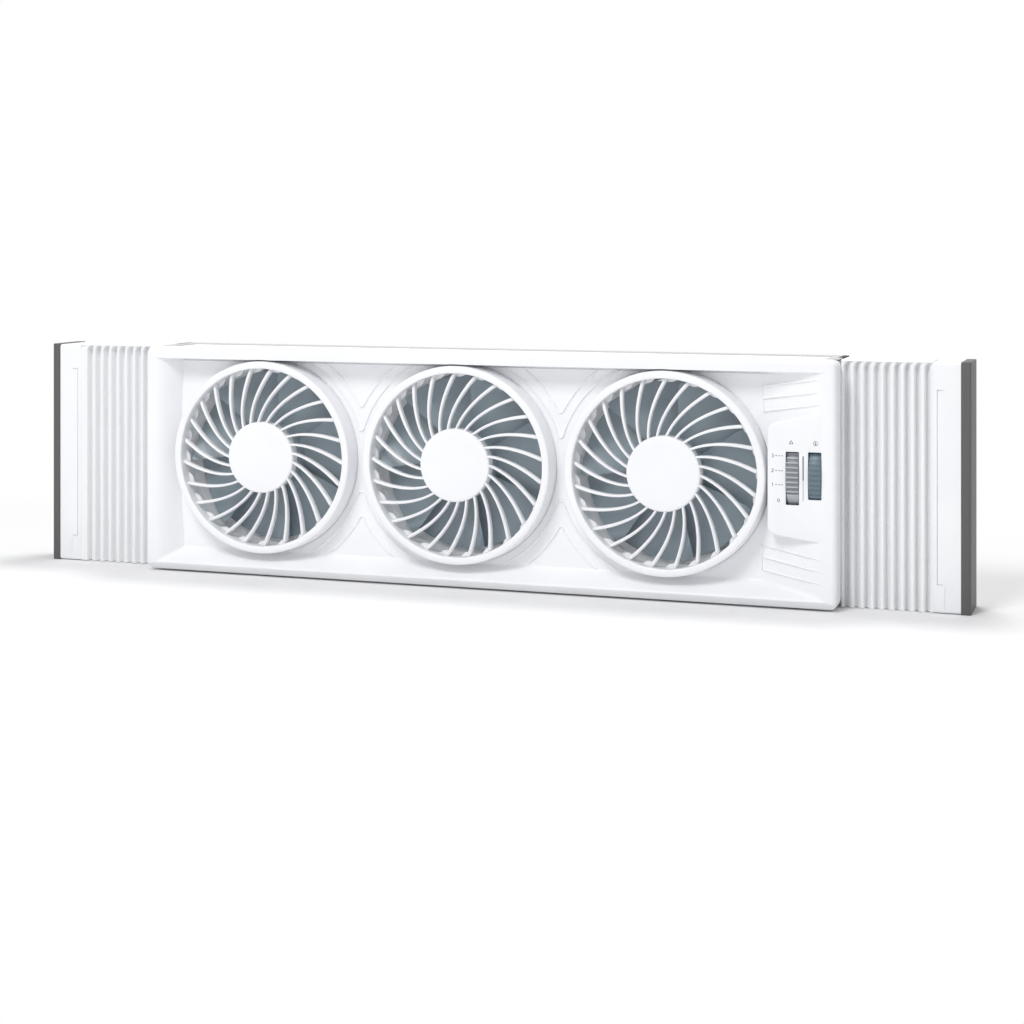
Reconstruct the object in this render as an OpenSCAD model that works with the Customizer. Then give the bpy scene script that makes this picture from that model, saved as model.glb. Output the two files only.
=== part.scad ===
// Three-fan window ventilator with two pull-out side panels, seen from the room side.
// Units: millimetres. X runs along the row of fans, Y from the room to the street, Z up.
// The origin is the centre of the face that rests on the window sill.

/* [Housing] */
// Width of the front bezel
housing_w = 560; // [480:5:680]
// Height of the front bezel
housing_h = 180; // [174:1:216]
// Depth from the bezel's face to the back of the housing
housing_d = 70; // [66:1:84]
// Thickness of every moulded wall
wall = 2.5; // [1.8:0.1:3]
// Depth of the bezel's side walls, up to the seam with the rear shell
bezel_d = 17; // [15:0.5:20]
// Radius of the housing's corners
corner_r = 6; // [3:0.5:9]
// How far the rear shell is set in from the bezel
shell_inset = 1; // [0.5:0.1:2]

/* [Dish around the fans] */
// Width of the bezel's rim on the left
rim_left = 14.5; // [12:0.5:18]
// Width of the bezel's rim on the right
rim_right = 9; // [8:0.5:14]
// Height of the bezel's rim above the dish
rim_top = 9; // [8:0.5:12]
// Height of the bezel's rim below the dish
rim_bottom = 7; // [6:0.5:9]
// Depth of the dish
dish_d = 17; // [14:0.5:20]
// Run of the slope at the left end of the dish
slope_left = 11; // [8:0.5:13]
// Run of the slope at the right end of the dish
slope_right = 49; // [46:0.5:52]
// Run of the slope along the foot of the dish
slope_bottom = 9.8; // [8:0.2:10]
// Height of each moulded step on the floor of the dish
step_t = 0.8; // [0.4:0.1:1.2]

/* [Fans] */
// Distance between neighbouring fan axes
fan_pitch = 164.6; // [158:0.2:200]
// Place of the middle fan along X
fan_mid_x = -12.7; // [-16:0.1:-8]
// Radius of the round opening in each front grille
opening_r = 70.5; // [58:0.5:71]
// Width of the ring's face round each opening
lip_w = 5.7; // [4:0.1:6]
// Radius of the disc in the middle of each front grille
disc_r = 28.5; // [24:0.5:34]
// Number of ribs on each front grille
rib_count = 25; // [18:1:30]
// Thickness of a rib
rib_t = 2; // [1.4:0.1:2.6]
// Angle through which a rib sweeps from the disc to the ring
rib_sweep = 27; // [0:1:40]
// Number of rings on each rear guard
guard_rings = 8; // [3:1:9]
// Number of spokes on each rear guard
guard_spokes = 8; // [4:1:16]
// Number of blades on each fan
blade_count = 7; // [5:1:9]
// Angle of the blades to the plane of the fan
blade_pitch = 20; // [14:1:26]
// Thickness of a blade
blade_t = 1.6; // [1.2:0.1:2.4]
// Gap between the blade tips and the shroud
tip_gap = 3; // [2:0.5:6]
// Radius of the fan's hub
hub_r = 26; // [24:0.5:30]
// Radius of the motor shaft
shaft_r = 2.5; // [2:0.1:3]
// Radius of the motor's can
motor_r = 19; // [18:0.5:22]

/* [Side panels] */
// How far the left panel stands out from the bezel
left_out = 102.4; // [90:0.1:120]
// How far the right panel stands out from the bezel
right_out = 92.1; // [85:0.1:115]
// Depth of the end plates and their edge strips
panel_d = 40; // [30:1:42]
// How far the pleats lie behind the bezel's face
panel_back = 25; // [22:0.5:27]
// Width of an end plate
end_plate_w = 20; // [18:0.5:24]
// Thickness of the edge strip on an end plate
trim_t = 7; // [5:0.5:9]
// Depth of a pleat
pleat_d = 7; // [4:0.5:9]
// Thickness of the pleated sheet
pleat_t = 1.2; // [0.8:0.1:1.6]
// Number of pleats in view on the left
left_pleats = 10; // [7:1:12]
// Number of pleats in view on the right
right_pleats = 9; // [7:1:12]
// Length of the slide rails
rail_len = 215; // [190:5:240]

/* [Controls] */
// Radius of both thumbwheels
wheel_r = 32; // [28:0.5:33]
// Width of both thumbwheels
wheel_w = 8.7; // [7:0.1:9]
// How far a thumbwheel stands proud of the control plate
wheel_proud = 2; // [1:0.1:3]
// Thickness of the control plate
plate_t = 2; // [1.6:0.1:2.5]
// Distance from the middle of the speed wheel to the bezel's right edge
speed_edge = 32; // [31:0.1:33]
// Distance from the middle of the thermostat wheel to the bezel's right edge
thermo_edge = 15.7; // [15.5:0.1:16.5]
// Height of the speed wheel's window
speed_win_h = 38.6; // [30:0.2:42]
// Height of the thermostat wheel's window
thermo_win_h = 34.4; // [28:0.2:40]

/* [Hidden] */
$fn = 64;
fit = 0.3;                 // clearance between pieces that don't touch
run_fit = 0.05;            // radial clearance of a shaft in its bush
eps = 0.01;                // how far a cut runs past the face it opens
white = "#f2f3f5";
dark = "#646567";
seal_grey = "#4b4c4e";
slate = "#5d6a72";
steel = "#a9adb1";

// Levels in Z. The rubber strip under the housing reaches the sill at z = 0.
base_gap = 1.5;
bezel_z0 = base_gap;
bezel_z1 = base_gap + housing_h;
shell_z0 = bezel_z0 + shell_inset;
shell_z1 = bezel_z1 - shell_inset;
dish_z0 = bezel_z0 + rim_bottom;
dish_z1 = bezel_z1 - rim_top;
floor_z0 = dish_z0 + slope_bottom;
fan_z = (floor_z0 + dish_z1) / 2;

// Levels in Y, from the room side to the back.
front_y = -housing_d / 2;
back_y = housing_d / 2;
seam_y = front_y + bezel_d;
floor_y = front_y + dish_d;
floor_back_y = floor_y + wall;
back_wall_y = back_y - wall;
panel_y0 = front_y + panel_back;
panel_y1 = panel_y0 + panel_d;

// Places along X.
half_w = housing_w / 2;
shell_x = half_w - shell_inset;
dish_x0 = -half_w + rim_left;
dish_x1 = half_w - rim_right;
floor_x0 = dish_x0 + slope_left;
floor_x1 = dish_x1 - slope_right;
fan_x = [for (k = [-1:1]) fan_mid_x + k * fan_pitch];

// Rings, shrouds and what turns in them.
ring_r = opening_r + lip_w;
ring_foot_r = ring_r + 0.6;
spigot_r = opening_r + 2.5;
hole_r = spigot_r + 0.6;
spigot_y = floor_back_y + 1.5;
shroud_t = 2;
shroud_r = opening_r + shroud_t;
shroud_y = spigot_y + fit;
rib_y0 = front_y + 3.5;
rib_d = 5;
disc_proud = 1;
contour_r = [ring_r + 9.2, ring_r + 15.8];
lip_y = front_y + 0.6;           // face of the rolled lip
lip_back_y = lip_y + 2.6;        // back of the lip's face
lip_round = 1.2;
disc_skirt_y = front_y + 9;      // back edge of the disc's skirt
skin = 2;                        // thickness of the grille's skirts
rib_phase = 3.3;                 // turn of the first rib's root from the X axis

guard_y = back_wall_y - 3.5;     // room-side face of the rear guard
guard_in_r = opening_r - 3.3;    // inner edge of the guard's rim
guard_plate_r = motor_r + 3;     // plate that the motor is screwed to
guard_wire = 1.8;
guard_ring_pitch = (guard_in_r - guard_plate_r) / (guard_rings + 1);
spoke_t = 2.6;
flange_r = shroud_r + 1.5;
ledge_t = 2;
lug_at = shroud_r + 3;
lug_r = 4.7;
lug_angles = [45:90:315];
motor_y1 = guard_y;
motor_d = 21;
motor_y0 = motor_y1 - motor_d;
motor_wall = 4;
motor_rear_wall = 6;
motor_screw_at = motor_r - 7.5;
motor_screw_d = 4;               // depth of the motor's screws in its end wall
stator_r = motor_r - 4.5;
nose_r = 8;
nose_d = 3;
bush_r = shaft_r + 2.5;
hub_y0 = front_y + 17;
hub_y1 = motor_y0 - 4;
hub_wall = 2.5;
hub_round = 2;
nut_r = shaft_r + 2.5;
boss_r = shaft_r + 3.5;
blade_y = (hub_y0 + hub_y1) / 2 + 1;
blade_r = opening_r - tip_gap;
blade_span = 315 / blade_count;  // angle that each blade covers, seen from the front
blade_camber_r = 75;
blade_root_r = hub_r - 0.6;
shaft_y0 = hub_y0 - 3.5;
shaft_y1 = motor_y1 - 2;

// Screws.
screw_r = 1.5;
head_r = 3;
head_t = 1.8;
flat_head_t = 1.2;               // sunk heads of the rail screws
pilot_r = screw_r + 0.05;
post_r = 4.5;
post_web_y = 0;
post_web_t = 3;
boss_post_r = post_r - 0.5;      // the front panel's half of each post
screw_bite = 9;                  // length of a screw in its pilot hole
pilot_d = screw_bite + 2;
low_z = floor_z0 + 4;
high_z = dish_z1 - 10;
between_x = [for (k = [0:1]) (fan_x[k] + fan_x[k + 1]) / 2];
floor_posts = [for (x = between_x, z = [low_z, high_z]) [x, z]];
side_post_x = shell_x - wall - post_r - 1;
side_post_z = [bezel_z0 + 36, bezel_z1 - 26];
side_posts = [for (x = [-side_post_x, side_post_x], z = side_post_z) [x, z]];
posts = concat(floor_posts, side_posts);

// Rubber strips, sunk in the rear shell by seal_bed.
seal_bed = 1;
seal_y = back_y - 7;             // the top strip runs from here to the back
seal_end = shell_x - 1;
pad_len = 10;                    // pads at both ends of the top strip
pad_y = seal_y - 36;
foot_half_d = 10;
foot_end = shell_x - 8;

// Side panels. side is -1 for the left one and 1 for the right one.
function out_of(side) = side < 0 ? left_out : right_out;
function pleats_of(side) = side < 0 ? left_pleats : right_pleats;
function tip_x(side) = half_w + out_of(side);
panel_z0 = 0.5;
panel_z1 = bezel_z1 - 0.5;
plate_z1 = panel_z1 - 0.5;       // top of the end plates
pleat_z0 = 0.8;
pleat_z1 = panel_z1 - 1.2;
pleat_y_t = pleat_t + 1;         // the sheet is deeper along Y, because its folds are steep
trim_round = 1.5;
flap_z = [panel_z0 + 20.5, panel_z1 - 21];
flap_x = 3;                      // the flap's outline, from the end plate's inner edge
flap_w = 6;
groove = 0.5;
rail_h = 6;
rail_d = 16;
rail_t = 2;
rail_y0 = panel_y0 + 10;
rail_gap = 0.4;
rail_z = [shell_z0 + wall + 1.5, shell_z1 - wall - 1.5 - rail_h];
rail_end = 12;                   // solid length at the rail's outer end
cradle_len = 60;
cradle_t = 2;
cradle_lap = 1;                  // how far the cradle's walls pass the rail's edges

// Controls.
speed_x = half_w - speed_edge;
thermo_x = half_w - thermo_edge;
plate_y = front_y + 1;
axle_z = fan_z + 1.3;
axle_y = plate_y - wheel_proud + wheel_r;
axle_r = 2;
win_gap = 0.5;
windows = [[speed_x, speed_win_h, -0.9], [thermo_x, thermo_win_h, 1.3]];
plate_x0 = floor_x1 + 7.6;
plate_low = [axle_z - 39, axle_z - 47.6];     // at the plate's left and right edges
plate_high = [axle_z + 36, axle_z + 49];
plate_cut_low = [4.4, 3.4];      // cuts across the plate's two left corners
plate_cut_high = [2.2, 2.4];
ear_t = 2.5;
ear_x = [speed_x - wheel_w / 2 - 2 - ear_t,
         (speed_x + thermo_x - ear_t) / 2,
         thermo_x + wheel_w / 2 + 1.5];
wheel_ribs = 56;
thumb_pad = 300;                 // place of the bare pad on the speed wheel, in degrees from straight down
no_pad = 720;
pad_half = 9;
rim_t = 5;                       // a thumbwheel's rim, web recess and hub
web_recess = 2;
wheel_hub_r = 7;
ridge_tilt = 9.3;
ridge_pitch = 9;
ridge_t = 1.6;
ridge_above = 46.5;              // first ridge above and below the wheels' axle
ridge_below = 52;
bracket_z0 = axle_z - 46;
bracket_z1 = axle_z + 16;
ear_half = 7;
shelf_t = 2;
switch_w = 10;
switch_y = [axle_y - 10, axle_y + 14];
switch_half_h = 12;
stub = 4;                        // the axle runs this far into the switch
stat_z = [bracket_z0 + shelf_t, bracket_z0 + shelf_t + 8];
stat_y = [axle_y - 5, axle_y + 12];
strip_w = 6;                     // the thermostat's bimetal strip
strip_t = 0.8;
terminal_x = [ear_x[0] - 8, ear_x[0] + 10];
terminal_half_h = 6;
inlet_x = half_w - 26;
inlet_z = bezel_z0 + 24;
cord_r = 3.4;
grommet_neck_r = cord_r + 2;
loom_z = shell_z0 + wall + 9;
loom_y = guard_y - 7;
loom_r = 2;
branch_r = 1.4;
branch_hole = branch_r + 0.5;

// ---------------------------------------------------------------- helpers

// Extrudes an outline drawn in X and Z from y0 back to y1.
module slab(y0, y1) {
    translate([0, y1, 0]) rotate([90, 0, 0]) linear_extrude(y1 - y0) children();
}

// Turns a profile of [radius, y] points about the fan axis at fan k.
module turned(k, profile) {
    translate([fan_x[k], 0, fan_z]) rotate([90, 0, 0])
        rotate_extrude($fn = 96) polygon([for (p = profile) [p[0], -p[1]]]);
}

// A ring or disc about a fan axis, from y0 back to y1.
module disc(k, r_out, r_in, y0, y1) {
    translate([fan_x[k], 0, fan_z]) slab(y0, y1) difference() {
        circle(r_out, $fn = 96);
        if (r_in > 0) circle(r_in, $fn = 96);
    }
}

// A round bar or bore along Y.
module bar_y(x, z, r, y0, y1) {
    translate([x, 0, z]) slab(y0, y1) circle(r, $fn = 32);
}

// A round bar or bore along X.
module bar_x(y, z, r, x0, x1) {
    translate([x0, y, z]) rotate([0, 90, 0]) cylinder(r = r, h = x1 - x0, $fn = 32);
}

module block(x0, x1, y0, y1, z0, z1) {
    translate([x0, y0, z0]) cube([x1 - x0, y1 - y0, z1 - z0]);
}

// Rectangle with round corners, given by its sides.
module round_rect(x0, x1, z0, z1, r) {
    translate([x0 + r, z0]) square([x1 - x0 - 2 * r, z1 - z0]);
    translate([x0, z0 + r]) square([x1 - x0, z1 - z0 - 2 * r]);
    for (x = [x0 + r, x1 - r], z = [z0 + r, z1 - r])
        translate([x, z]) circle(r, $fn = 32);
}

// Four-sided frustum between a rectangle at y0 and one at y1; each is [x0, x1, z0, z1].
module frustum(y0, a, y1, b) {
    hull() {
        block(a[0], a[1], y0, y0 + eps, a[2], a[3]);
        block(b[0], b[1], y1 - eps, y1, b[2], b[3]);
    }
}

// ---------------------------------------------------------------- housing

// Outline of the control plate, drawn in by inset all round but on the right, where it ends at the rim.
module control_outline(inset, right_inset) {
    x1 = dish_x1 - right_inset;
    polygon([
        [plate_x0 + inset, plate_low[0] + inset / 2],
        [plate_x0 + plate_cut_low[0] + inset, plate_low[0] - plate_cut_low[1] + inset],
        [x1, plate_low[1] + inset], [x1, plate_high[1] - inset],
        [plate_x0 + plate_cut_high[0] + inset, plate_high[0] + plate_cut_high[1] - inset],
        [plate_x0 + inset, plate_high[0] - plate_cut_high[0] - inset / 2]
    ]);
}

// Steps moulded in the dish floor, concentric with the fans, which meet in Vs between them.
module floor_steps() {
    for (level = [0:1])
        slab(floor_y - (level + 1) * step_t, floor_y + eps) difference() {
            translate([floor_x0, floor_z0]) square([plate_x0 - 3 - floor_x0, dish_z1 - floor_z0]);
            for (x = fan_x) translate([x, fan_z]) circle(contour_r[level], $fn = 96);
        }
}

// A thin ridge that climbs the right-hand slope of the dish.
module ridge(z, tilt) {
    run = slope_right - 4;
    rise = run * dish_d / slope_right;
    translate([floor_x1 + 2, 0, z]) rotate([0, -tilt, 0]) translate([0, 0, -ridge_t / 2])
        linear_extrude(ridge_t) polygon([[0, floor_y - 2], [run, floor_y - rise - 1.4],
            [run, floor_y - rise + 1], [0, floor_y + 0.4]]);
}

module wheel_windows() {
    for (w = windows)
        block(w[0] - wheel_w / 2 - win_gap, w[0] + wheel_w / 2 + win_gap, front_y - 1, floor_back_y,
              axle_z + w[2] - w[1] / 2, axle_z + w[2] + w[1] / 2);
}

module front_panel() color(white) difference() {
    union() {
        difference() {
            union() {
                difference() {
                    slab(front_y, seam_y) round_rect(-half_w, half_w, bezel_z0, bezel_z1, corner_r);
                    slab(front_y + wall, seam_y + eps)
                        round_rect(-half_w + wall, half_w - wall, bezel_z0 + wall, bezel_z1 - wall,
                                   corner_r - wall + 0.5);
                }
                frustum(front_y + eps, [dish_x0 - wall, dish_x1 + wall, dish_z0 - wall, dish_z1 + wall],
                        floor_back_y, [floor_x0 - wall, floor_x1 + wall, floor_z0 - wall, dish_z1 + wall]);
            }
            frustum(front_y - eps, [dish_x0, dish_x1, dish_z0, dish_z1],
                    floor_y, [floor_x0, floor_x1, floor_z0, dish_z1]);
        }
        floor_steps();
        for (i = [0:2]) {
            ridge(axle_z + ridge_above + i * ridge_pitch, ridge_tilt);
            ridge(axle_z - ridge_below - i * ridge_pitch, -ridge_tilt);
        }
        slab(plate_y, floor_back_y) control_outline(0, 0);
        for (p = floor_posts)
            bar_y(p[0], p[1], boss_post_r, floor_back_y - eps, post_web_y - post_web_t);
        for (p = side_posts)
            bar_y(p[0], p[1], boss_post_r, front_y + wall - eps, post_web_y - post_web_t);
    }
    slab(plate_y + plate_t, floor_back_y + eps) control_outline(wall, 1);
    wheel_windows();
    for (k = [0:2]) {
        disc(k, hole_r, 0, front_y - 1, floor_back_y + 1);
        disc(k, ring_foot_r + fit, 0, front_y - 1, floor_y);
    }
    for (p = posts) bar_y(p[0], p[1], pilot_r, post_web_y - post_web_t - pilot_d, post_web_y);
}

// Channel that carries a slide rail just inside the housing's end wall.
module rail_cradle(side, z) {
    x_in = shell_x - wall - cradle_len;
    mirror([side < 0 ? 1 : 0, 0, 0])
        for (y = [rail_y0 - rail_gap - cradle_t, rail_y0 + rail_d + rail_gap])
            block(x_in, shell_x - wall + eps, y, y + cradle_t,
                  z < fan_z ? shell_z0 + wall - eps : z - cradle_lap,
                  z < fan_z ? z + rail_h + cradle_lap : shell_z1 - wall + eps);
}

module rail_hole(side, z) {
    mirror([side < 0 ? 1 : 0, 0, 0])
        block(shell_x - wall - 1, shell_x + 1, rail_y0 - rail_gap, rail_y0 + rail_d + rail_gap,
              z - rail_gap, z + rail_h + rail_gap);
}

module guard_outline(grow) {
    circle(flange_r + grow, $fn = 96);
    for (a = lug_angles) rotate(a) translate([lug_at, 0]) circle(lug_r + grow, $fn = 32);
}

module rear_housing() color(white) difference() {
    union() {
        difference() {
            slab(seam_y, back_y) round_rect(-shell_x, shell_x, shell_z0, shell_z1, corner_r - shell_inset);
            slab(seam_y - eps, back_wall_y)
                round_rect(-shell_x + wall, shell_x - wall, shell_z0 + wall, shell_z1 - wall,
                           corner_r - shell_inset - wall + 0.5);
        }
        for (k = [0:2]) {
            disc(k, shroud_r, 0, shroud_y, back_wall_y);
            disc(k, flange_r + wall, 0, back_wall_y - ledge_t, back_wall_y + eps);
            translate([fan_x[k], 0, fan_z]) for (a = lug_angles)
                rotate([0, -a, 0]) bar_y(lug_at, 0, post_r, back_wall_y - pilot_d - 1, back_wall_y);
        }
        for (p = posts) bar_y(p[0], p[1], post_r, post_web_y - post_web_t + eps, back_wall_y + eps);
        for (side = [-1, 1], z = rail_z) rail_cradle(side, z);
    }
    for (k = [0:2]) {
        disc(k, opening_r, 0, seam_y, back_y + 1);
        translate([fan_x[k], 0, fan_z]) slab(back_wall_y, back_y + 1) guard_outline(fit);
        translate([fan_x[k], 0, fan_z]) for (a = lug_angles)
            rotate([0, -a, 0]) bar_y(lug_at, 0, pilot_r, back_wall_y - pilot_d, back_wall_y + 1);
        block(fan_x[k] - branch_hole, fan_x[k] + branch_hole, loom_y - branch_hole, loom_y + branch_hole,
              fan_z - shroud_r - 2, fan_z - opening_r + 3);
    }
    for (p = posts) {
        bar_y(p[0], p[1], screw_r + 0.3, post_web_y - post_web_t - 1, back_y);
        bar_y(p[0], p[1], head_r + 0.3, post_web_y, back_y + 1);
    }
    for (side = [-1, 1], z = rail_z) rail_hole(side, z);
    bar_y(inlet_x, inlet_z, grommet_neck_r, back_wall_y - 1, back_y + 1);
    block(-half_w, half_w, seal_y, back_y + 1, shell_z1 - seal_bed, shell_z1 + 1);
    block(-half_w, half_w, -foot_half_d, foot_half_d, shell_z0 - 1, shell_z0 + seal_bed);
}

module top_seal() color(seal_grey) {
    block(-seal_end, seal_end, seal_y + fit, back_y, shell_z1 - seal_bed, bezel_z1);
    for (x = [-seal_end, seal_end - pad_len]) block(x, x + pad_len, pad_y, seal_y + 1, shell_z1, bezel_z1);
}

module bottom_seal() color(seal_grey)
    block(-foot_end, foot_end, -foot_half_d + fit, foot_half_d - fit, 0, shell_z0 + seal_bed);

// ---------------------------------------------------------------- fans

// Radius-to-angle rule of a rib: it turns steadily with the logarithm of its radius.
function rib_angle(r) = rib_phase - rib_sweep * ln(r / disc_r) / ln(opening_r / disc_r);
function rib_edge(r, side) =
    let (a = rib_angle(r) + side * asin(rib_t / 2 / r / cos(rib_sweep)))
    [r * cos(a), r * sin(a)];

// Outline of a rib from inside the disc's skirt to inside the spigot's wall.
module rib() {
    n = 6;
    r0 = disc_r - skin;
    radii = [for (i = [0:n]) r0 + i * (spigot_r - skin / 2 - r0) / n];
    polygon(concat([for (r = radii) rib_edge(r, 1)],
                   [for (i = [n:-1:0]) rib_edge(radii[i], -1)]));
}

module front_grille(k) color(white) {
    // rolled lip: face, outer skirt down to the dish floor, and the spigot through it
    foot_y = floor_y - 0.05;
    turned(k, [[opening_r, lip_y + lip_round], [opening_r + lip_round, lip_y],
        [ring_r - lip_round, lip_y], [ring_r, lip_y + lip_round],
        [ring_foot_r, foot_y], [ring_foot_r - skin, foot_y], [ring_r - skin, lip_back_y],
        [spigot_r, lip_back_y], [spigot_r, spigot_y], [opening_r, spigot_y]]);
    // hub disc with its skirt
    turned(k, [[0, front_y - disc_proud], [disc_r - lip_round, front_y - disc_proud], [disc_r, lip_y],
        [disc_r, disc_skirt_y], [disc_r - skin, disc_skirt_y], [disc_r - skin, front_y + 1.5],
        [0, front_y + 1.5]]);
    translate([fan_x[k], 0, fan_z]) for (i = [0:rib_count - 1])
        rotate([0, -i * 360 / rib_count, 0]) slab(rib_y0, rib_y0 + rib_d) rib();
}

module rear_guard(k) color(white) difference() {
    union() {
        translate([fan_x[k], 0, fan_z]) slab(back_wall_y, back_y) difference() {
            guard_outline(0);
            circle(guard_in_r, $fn = 96);
        }
        for (i = [1:guard_rings]) let (r = guard_plate_r + i * guard_ring_pitch)
            disc(k, r + guard_wire / 2, r - guard_wire / 2, guard_y + 2, back_y - 1);
        disc(k, guard_plate_r, 0, guard_y, back_y);
        translate([fan_x[k], 0, fan_z]) for (i = [0:guard_spokes - 1])
            rotate([0, -(i + 0.5) * 360 / guard_spokes, 0])
                block(motor_r, guard_in_r + skin, guard_y, back_y, -spoke_t / 2, spoke_t / 2);
    }
    translate([fan_x[k], 0, fan_z]) {
        for (a = lug_angles)
            rotate([0, -a, 0]) bar_y(lug_at, 0, screw_r + 0.2, back_wall_y - 1, back_y + 1);
        for (s = [-1, 1]) bar_y(s * motor_screw_at, 0, screw_r + 0.2, guard_y - 1, back_y + 1);
        for (s = [-1, 1]) bar_y(s * motor_screw_at, 0, head_r + 0.3, back_y - head_t, back_y + 1);
    }
    disc(k, bush_r - 1.5, 0, guard_y - 1, back_y - 2);
}

module motor(k) color("#8d9196") difference() {
    turned(k, [[bush_r, motor_y0 - nose_d], [nose_r, motor_y0 - nose_d], [nose_r, motor_y0],
        [motor_r - 1, motor_y0], [motor_r, motor_y0 + 1], [motor_r, motor_y1], [bush_r, motor_y1],
        [bush_r, motor_y1 - motor_rear_wall], [stator_r, motor_y1 - motor_rear_wall],
        [stator_r, motor_y0 + motor_wall], [bush_r, motor_y0 + motor_wall]]);
    for (s = [-1, 1])
        bar_y(fan_x[k] + s * motor_screw_at, fan_z, pilot_r, motor_y1 - motor_screw_d - 1, motor_y1 + 1);
}

module bushes(k) color("#b08d57") {
    disc(k, bush_r, shaft_r + run_fit, motor_y0 - nose_d + 0.5, motor_y0 + motor_wall);
    disc(k, bush_r, shaft_r + run_fit, motor_y1 - motor_rear_wall, motor_y1 - 0.5);
}

module shaft(k) color(steel) {
    disc(k, shaft_r, 0, shaft_y0, shaft_y1);
    disc(k, stator_r - 1, 0, motor_y0 + motor_wall + 1.2, motor_y1 - motor_rear_wall - 1.2);
}

// Outline of a blade seen along the axis, wider at the tip and raked forward.
module blade_outline() {
    function lead(t) = -blade_span * (0.42 + 0.10 * t);
    function trail(t) = blade_span * (0.40 + 0.08 * t);
    n = 5;
    function at(i) = blade_root_r + i * (blade_r + 3 - blade_root_r) / n;
    polygon(concat([for (i = [0:n]) at(i) * [cos(lead(i / n)), sin(lead(i / n))]],
                   [for (i = [n:-1:0]) at(i) * [cos(trail(i / n)), sin(trail(i / n))]]));
}

// One blade: a slice of a thin tube whose axis is radial, which gives it pitch and camber.
module blade() intersection() {
    translate([0, -blade_camber_r * sin(blade_pitch), blade_camber_r * cos(blade_pitch)])
        rotate([0, 90, 0]) difference() {
            cylinder(r = blade_camber_r + blade_t / 2, h = blade_r + 5, $fn = 128);
            translate([0, 0, -1]) cylinder(r = blade_camber_r - blade_t / 2, h = blade_r + 7, $fn = 128);
        }
    translate([0, 0, -14]) linear_extrude(34) blade_outline();
    translate([0, 0, -20]) cylinder(r = blade_r, h = 50, $fn = 96);
}

module fan(k) color(slate) {
    turned(k, [[shaft_r, hub_y0], [hub_r - hub_round, hub_y0], [hub_r, hub_y0 + hub_round],
        [hub_r, hub_y1], [hub_r - hub_wall, hub_y1], [hub_r - hub_wall, hub_y0 + hub_wall],
        [boss_r, hub_y0 + hub_wall], [boss_r, hub_y1 - 1], [shaft_r, hub_y1 - 1]]);
    translate([fan_x[k], blade_y, fan_z]) rotate([90, 0, 0])
        for (i = [0:blade_count - 1]) rotate(i * 360 / blade_count) blade();
}

module fan_nut(k) color(steel)
    disc(k, nut_r, shaft_r, shaft_y0 - 0.5, hub_y0);

// ---------------------------------------------------------------- controls

// Thumbwheel with a ribbed rim and a hub on the axle. No rib stands within pad_half of the angle pad.
module thumbwheel(x, rib_h, rib_w, pad) {
    translate([x - wheel_w / 2, axle_y, axle_z]) rotate([0, 90, 0]) {
        difference() {
            union() {
                cylinder(r = wheel_r - rib_h, h = wheel_w, $fn = 96);
                for (i = [0:wheel_ribs - 1]) let (a = i * 360 / wheel_ribs)
                    if (abs(a - pad) > pad_half)
                        rotate(a) translate([wheel_r - rib_h - 1, -rib_w / 2, 0.6])
                            cube([rib_h + 1, rib_w, wheel_w - 1.2]);
            }
            for (z = [-1, wheel_w - web_recess]) translate([0, 0, z]) difference() {
                cylinder(r = wheel_r - rim_t, h = web_recess + 1, $fn = 96);
                translate([0, 0, -1]) cylinder(r = wheel_hub_r, h = web_recess + 3);
            }
            translate([0, 0, -1]) cylinder(r = axle_r + run_fit, h = wheel_w + 2, $fn = 32);
        }
    }
}

module speed_dial() color("#8b8f96") thumbwheel(speed_x, 0.9, 1.5, thumb_pad);
module thermostat_dial() color("#66798a") thumbwheel(thermo_x, 0.5, 1.1, no_pad);

module dial_axle() color(steel)
    bar_x(axle_y, axle_z, axle_r, ear_x[0] - stub, ear_x[2] + ear_t + 0.5);

module control_bracket() color("#d9dadc") difference() {
    union() {
        block(ear_x[0], ear_x[2] + ear_t, back_wall_y - wall, back_wall_y, bracket_z0, bracket_z1);
        for (x = ear_x)
            block(x, x + ear_t, axle_y - ear_half, back_wall_y - wall + eps,
                  axle_z - ear_half, axle_z + ear_half);
        block(ear_x[1], ear_x[2] + ear_t, axle_y - ear_half, back_wall_y - wall + eps,
              bracket_z0, bracket_z0 + shelf_t);
    }
    bar_x(axle_y, axle_z, axle_r, ear_x[0] - 1, ear_x[2] + ear_t + 1);
}

// Rotary switch on the speed wheel's side of the axle.
module speed_switch() color("#3b3d40") difference() {
    block(ear_x[0] - switch_w, ear_x[0], switch_y[0], switch_y[1],
          axle_z - switch_half_h, axle_z + switch_half_h);
    bar_x(axle_y, axle_z, axle_r, ear_x[0] - stub, ear_x[0] + 1);
}

// Snap-action thermostat with its bimetal strip, under the thermostat wheel.
module thermostat() color("#d8c9a8") {
    block(ear_x[1] + 2, ear_x[2], stat_y[0], stat_y[1], stat_z[0], stat_z[1]);
    block(thermo_x - strip_w / 2, thermo_x + strip_w / 2, stat_y[0], stat_y[0] + strip_t,
          stat_z[1] - eps, axle_z - wheel_r - 0.5);
}

module terminal_block() color("#e9e4d2")
    block(terminal_x[0], terminal_x[1], loom_y - 3, back_wall_y,
          loom_z - terminal_half_h, loom_z + terminal_half_h);

module wiring_loom() color("#303236") {
    top_z = loom_z + terminal_half_h;
    bar_x(loom_y, loom_z, loom_r, fan_x[0], terminal_x[0]);
    for (x = fan_x)
        translate([x, loom_y, loom_z]) cylinder(r = branch_r, h = fan_z - motor_r - 0.2 - loom_z);
    translate([terminal_x[0] + 3, loom_y, top_z])
        cylinder(r = branch_r, h = axle_z - switch_half_h - top_z);
}

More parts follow.
